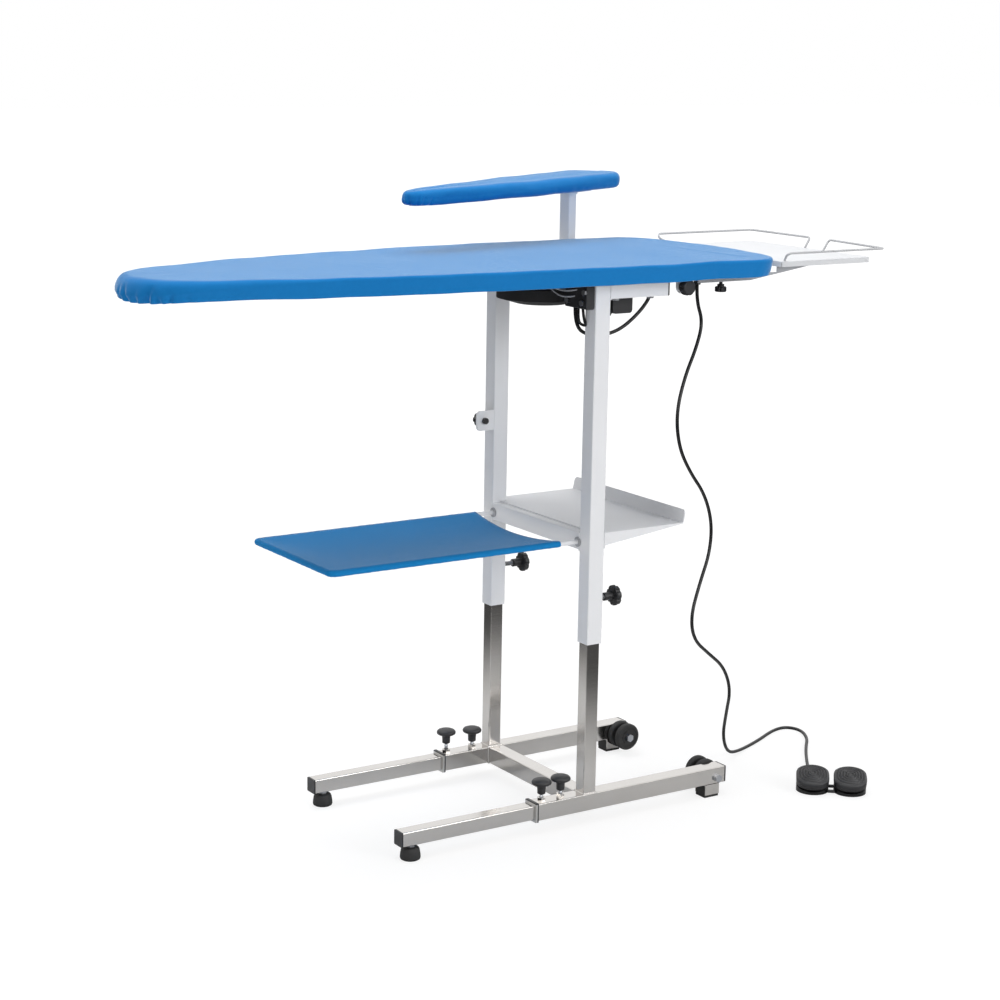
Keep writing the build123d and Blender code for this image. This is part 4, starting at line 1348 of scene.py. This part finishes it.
@dataclass(frozen=True)
class Turned:
    """A round or many-sided piece about an upright axis, by radius and height in millimetres."""

    section: Sequence[tuple[float, float]]
    sides: int = 48

    MOST_CORNERS = 12

    def build(self, name: str, place: Vector, material: Material) -> Piece:
        """Make the piece.

        Args:
            name: Its name.
            place: Where height nought of its axis is.
            material: Its finish.

        Returns:
            The closed mesh, shaded flat where its corners are meant to show.
        """
        points = []
        for radius, height in self.section:
            for index in range(self.sides):
                turn = 2 * math.pi * index / self.sides
                points.append(place + MM * Vector((radius * math.cos(turn), radius * math.sin(turn), height)))
        faces = ring_faces(len(self.section), self.sides)
        return add_mesh(name, points, faces, material, smooth=self.sides > self.MOST_CORNERS)


@dataclass
class BaseFittings:
    """Mushroom knobs on the rails and moulded levelling feet."""

    finishes: Finishes

    KNOB = Turned((
        (6.2, -27.0), (7.0, -26.2), (7.3, -18.0), (7.8, -12.6), (9.0, -11.4), (14.6, -10.6), (16.6, -9.2),
        (17.2, -7.2), (16.8, -5.2), (14.8, -2.9), (11.0, -1.3), (6.0, -0.4), (1.0, 0.0),
    ))
    STUD = Turned(((3.0, -41.0), (3.0, -26.5)), 24)
    FOOT = Turned((
        (14.6, 0.0), (16.4, 1.2), (17.2, 3.6), (16.9, 9.0), (15.6, 16.5), (14.4, 19.6), (12.6, 21.0),
        (8.0, 21.4),
    ))
    NUT = Turned(((7.6, 21.0), (7.6, 26.2)), 6)
    SCREW = Turned(((4.0, 26.0), (4.0, 38.5)), 24)
    LIFTS = {"rail_knob_far_front": 0.005}

    def add(self, shape: Turned, name: str, place: Vector, slot: Slot, body: str, node: str = "") -> None:
        """Make one piece, let it ride on a body and put it in place of a node.

        Args:
            shape: Its section.
            name: Its name.
            place: Where height nought of its axis is.
            slot: Its finish.
            body: The body that carries it.
            node: The node that it replaces, if any.
        """
        mount(shape.build(name, place, self.finishes.by_slot[slot]), body, node)

    def build(self) -> None:
        """Make the knobs with their studs, and the feet with their nuts and screws."""
        for side in Side:
            word = side.name.lower()
            for end in ("front", "rear"):
                node = f"rail_knob_{word}_{end}"
                low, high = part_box(node)
                lift = self.LIFTS.get(node, 0.0)
                top = Vector(((low[0] + high[0]) / 2, (low[1] + high[1]) / 2, high[2] + lift))
                self.add(self.KNOB, f"mushroom_{word}_{end}", top, Slot.PLASTIC, node, node)
                self.add(self.STUD, f"knob_stud_{word}_{end}", top, Slot.ZINC, node)
            node = f"levelling_foot_{word}"
            low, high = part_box(node)
            floor = Vector(((low[0] + high[0]) / 2, (low[1] + high[1]) / 2, low[2]))
            self.add(self.FOOT, f"foot_cup_{word}", floor, Slot.RUBBER, node, node)
            self.add(self.NUT, f"foot_nut_{word}", floor, Slot.ZINC, node)
            self.add(self.SCREW, f"foot_screw_{word}", floor, Slot.ZINC, node)


@dataclass
class PedalCaps:
    """Ridged caps of the foot switches, cut straight on their two facing sides."""

    datum: Datum
    finishes: Finishes
    radius: float = 34.0
    cut: float = 30.0
    pivot_height: float = 12.0
    low: float = 6.0
    tall: float = 17.0
    dome: float = 4.0
    tilt: float = 14.0
    ridges: int = 6
    ridge: float = 1.1
    sides: int = 96

    CENTRES = {"left": (447.0, -226.0), "right": (499.0, -268.0)}
    RIDGE_STEPS = 10
    FIRST_RING = 0.03
    RIDGED_SPAN = 0.85
    RIDGED_FROM = 0.06
    RIDGED_TO = 0.9
    RISE_SPAN = 0.08
    FALL_SPAN = 0.06
    SQUARENESS = 14

    def section(self) -> list[tuple[float, float]]:
        """Share of the outline and height of each ring, from the middle of the top down to the lower edge."""
        rings = []
        steps = self.RIDGE_STEPS * self.ridges
        for step in range(steps):
            share = self.FIRST_RING + self.RIDGED_SPAN * step / steps
            rise = min(1.0, max(0.0, (share - self.RIDGED_FROM) / self.RISE_SPAN))
            fall = min(1.0, (self.RIDGED_TO - share) / self.FALL_SPAN)
            groove = self.ridge * rise * fall * math.sin(2 * math.pi * self.ridges * share)
            rings.append((share, self.low + self.tall - self.dome * share ** 2 + groove))
        edge = self.low + self.tall - self.dome
        rings += [(0.95, edge + 0.5), (0.985, edge - 0.8), (1.0, edge - 2.6), (0.985, self.low + 1.0)]
        return rings + [(0.94, self.low), (0.3, self.low)]

    def build(self) -> None:
        """Make both caps and put them in place of the plain ones."""
        first, second = (Vector((*centre, 0.0)) for centre in self.CENTRES.values())
        along = (second - first).normalized()
        toward = Vector((along.y, -along.x, 0.0))
        tilt = math.radians(self.tilt)
        up = Vector((0.0, 0.0, math.cos(tilt))) + toward * math.sin(tilt)
        across = up.cross(along)
        power = self.SQUARENESS
        section = self.section()
        outward = [face[:1] + face[:0:-1] for face in ring_faces(len(section), self.sides)]
        for word, centre in self.CENTRES.items():
            middle = Vector((*centre, self.pivot_height))
            points = []
            for share, height in section:
                for index in range(self.sides):
                    turn = 2 * math.pi * index / self.sides
                    side = abs(math.cos(turn)) / self.cut
                    reach = share * (self.radius ** -power + side ** power) ** (-1 / power)
                    offset = along * reach * math.cos(turn) + across * reach * math.sin(turn)
                    points.append(self.datum.at(*(middle + offset + up * height)))
            node = f"pedal_cap_{word}"
            piece = add_mesh(f"ridged_cap_{word}", points, outward, self.finishes.by_slot[Slot.PLASTIC])
            mount(piece, node, node)


@dataclass
class Threads:
    """Screw threads on the visible lengths of the height knobs' studs."""

    datum: Datum
    finishes: Finishes
    start: float = 21.5
    half_spacing: float = 150.0
    radius: float = 4.0
    pitch: float = 1.25
    ridge: float = 0.34 * MM

    TURN_STEPS = 18
    SIDES = 5
    # Visible length of each stud and its height, in millimetres.
    STUDS = {Side.NEAR: (5.2, 395.0), Side.FAR: (17.6, 389.0)}

    def build(self) -> None:
        """Wind a ridge round each stud."""
        for side, (length, height) in self.STUDS.items():
            word = side.name.lower()
            middle = side.value * self.half_spacing
            line = []
            count = round(self.TURN_STEPS * length / self.pitch)
            for step in range(count + 1):
                turn = 2 * math.pi * step / self.TURN_STEPS
                x = self.start + length * step / count
                y = middle + self.radius * math.cos(turn)
                line.append(self.datum.at(x, y, height + self.radius * math.sin(turn)))
            zinc = self.finishes.by_slot[Slot.ZINC]
            piece = add_tube(f"thread_height_{word}", line, lambda index: self.ridge, self.SIDES, zinc)
            mount(piece, f"height_knob_{word}")


@dataclass
class Studio:
    """White floor and background with soft lights."""

    dark: float = 0.10
    bright: float = 0.55
    dark_to: float = 0.02
    bright_from: float = 0.24
    glint: float = 1.2
    glow: float = 1.12
    floor_side: float = 30.0
    floor_shade: float = 0.9
    # Painted reflection tone of the floor as glossy rays see it, near the table and far off.
    mirrored_near: float = 0.85
    mirrored_far: float = 0.08
    near_to: float = 0.4
    far_from: float = 1.15
    shadow_share: float = 0.3
    clear_from: float = 1.0
    clear_to: float = 2.6

    # Each lamp's place, target, side and watts.
    LAMPS = {
        "front": ((1.6, -4.2, 1.9), (0.0, 0.0, 0.6), 1.8, 72.0),
        "overhead": ((-0.2, 0.4, 3.4), (0.0, 0.0, 0.9), 2.4, 70.0),
        "left": ((-4.0, -1.2, 1.8), (0.0, 0.0, 0.6), 1.6, 14.0),
    }

    @staticmethod
    def emptied(owner: Material | bpy.types.World) -> Tree:
        """Node tree of a material or world, with nothing in it."""
        owner.use_nodes = True
        owner.node_tree.nodes.clear()
        return Tree(owner.node_tree)

    @staticmethod
    def seen(kit: Tree, path: bpy.types.Node) -> Socket:
        """One for what the camera sees, also through glass."""
        return kit.maths("MAXIMUM", path.outputs["Is Camera Ray"], path.outputs["Is Transmission Ray"])

    def floor(self) -> None:
        """Floor that shows white and keeps the table's soft shadow near it."""
        made = bpy.data.materials.new("studio_floor")
        kit = self.emptied(made)
        path = kit.add("LightPath")
        place = kit.add("NewGeometry").outputs["Position"]
        reach = kit.add("VectorMath", ((0, place),), operation="LENGTH").outputs["Value"]
        # Glossy rays see the floor in a painted reflection tone, light near the table and dark further off.
        mirrored = kit.ramp(reach, self.near_to, self.far_from, self.mirrored_near, self.mirrored_far)
        shade = kit.add("Mix", ((0, path.outputs["Is Glossy Ray"]), (2, self.floor_shade), (3, mirrored)))
        diffuse = kit.add("BsdfDiffuse", (("Color", shade.outputs[0]),))
        glow = kit.add("Emission", (("Strength", self.glow),))
        clear = kit.ramp(reach, self.clear_from, self.clear_to, 1.0 - self.shadow_share, 1.0)
        share = kit.maths("MULTIPLY", self.seen(kit, path), clear)
        mix = kit.add("MixShader", ((0, share), (1, diffuse.outputs[0]), (2, glow.outputs[0])))
        kit.add("OutputMaterial", (("Surface", mix.outputs[0]),))
        side = self.floor_side
        corners = [(-side, -side, 0), (side, -side, 0), (side, side, 0), (-side, side, 0)]
        add_mesh("studio_floor", corners, [[0, 1, 2, 3]], made, smooth=False)

    def world(self) -> None:
        """White background for the camera; for the rest a room that is dark low down and bright above."""
        world = bpy.data.worlds.new("studio_world")
        bpy.context.scene.world = world
        kit = self.emptied(world)
        path = kit.add("LightPath")
        height = kit.split(kit.add("TexCoord").outputs["Generated"])["Z"]
        level = kit.ramp(height, self.dark_to, self.bright_from, self.dark, self.bright)
        # Glossy rays see the room brighter by the glint: a painted glint on the shiny parts.
        shiny = kit.ramp(path.outputs["Is Glossy Ray"], 0.0, 1.0, 1.0, self.glint / self.bright)
        strength = kit.maths("MULTIPLY", level, shiny)
        lit = kit.add("Background", (("Color", WHITE_LIGHT), ("Strength", strength)))
        white = kit.add("Background", (("Color", WHITE_LIGHT),))
        mix = kit.add("MixShader", ((0, self.seen(kit, path)), (1, lit.outputs[0]), (2, white.outputs[0])))
        kit.add("OutputWorld", (("Surface", mix.outputs[0]),))

    def lamps(self) -> None:
        """Square area lights, each aimed at its target."""
        for name, (place, target, size, power) in self.LAMPS.items():
            data = bpy.data.lights.new(name, "AREA")
            data.size = size
            data.energy = power
            lamp = bpy.data.objects.new(name, data)
            lamp.location = place
            lamp.rotation_euler = (Vector(target) - Vector(place)).to_track_quat("-Z", "Y").to_euler()
            bpy.context.collection.objects.link(lamp)

    def build(self) -> None:
        """Set up the floor, the world and the lamps."""
        self.floor()
        self.world()
        self.lamps()


@dataclass
class ViewPoint:
    """Camera that matches the photograph."""

    datum: Datum
    place: Point = (-2108.3, -3096.0, 1330.3)
    yaw: float = 33.135
    pitch: float = 11.979
    roll: float = 0.97
    lens: float = 79.787
    sensor: float = 36.0

    def build(self) -> None:
        """Make the camera and use it."""
        yaw, pitch, roll = (math.radians(value) for value in (self.yaw, self.pitch, self.roll))
        ahead = Vector((math.sin(yaw) * math.cos(pitch), math.cos(yaw) * math.cos(pitch), -math.sin(pitch)))
        right = Vector((math.cos(yaw), -math.sin(yaw), 0.0))
        up = right.cross(ahead)
        across = right * math.cos(roll) + up * math.sin(roll)
        upward = up * math.cos(roll) - right * math.sin(roll)
        data = bpy.data.cameras.new("camera")
        data.lens = self.lens
        data.sensor_width = self.sensor
        camera = bpy.data.objects.new("camera", data)
        turn = Matrix((across, upward, -ahead)).transposed()
        camera.matrix_world = Matrix.Translation(self.datum.at(*self.place)) @ turn.to_4x4()
        bpy.context.collection.objects.link(camera)
        bpy.context.scene.camera = camera


def main() -> None:
    """Load the frame and build everything on it."""
    logging.basicConfig(level=logging.INFO, format="%(name)s %(message)s")
    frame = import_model()
    bpy.context.scene.view_settings.view_transform = "Standard"
    datum = Datum.from_frame()
    finishes = Finishes()
    finishes.dress_nodes(frame)
    ViewPoint(datum).build()
    Studio().build()
    for part in (Board, SleeveBoard, ClothRack, Cords, Welds, Threads):
        part(datum, finishes).build()
    BaseFittings(finishes).build()
    PedalCaps(datum, finishes).build()


if __name__ == "__main__":
    main()
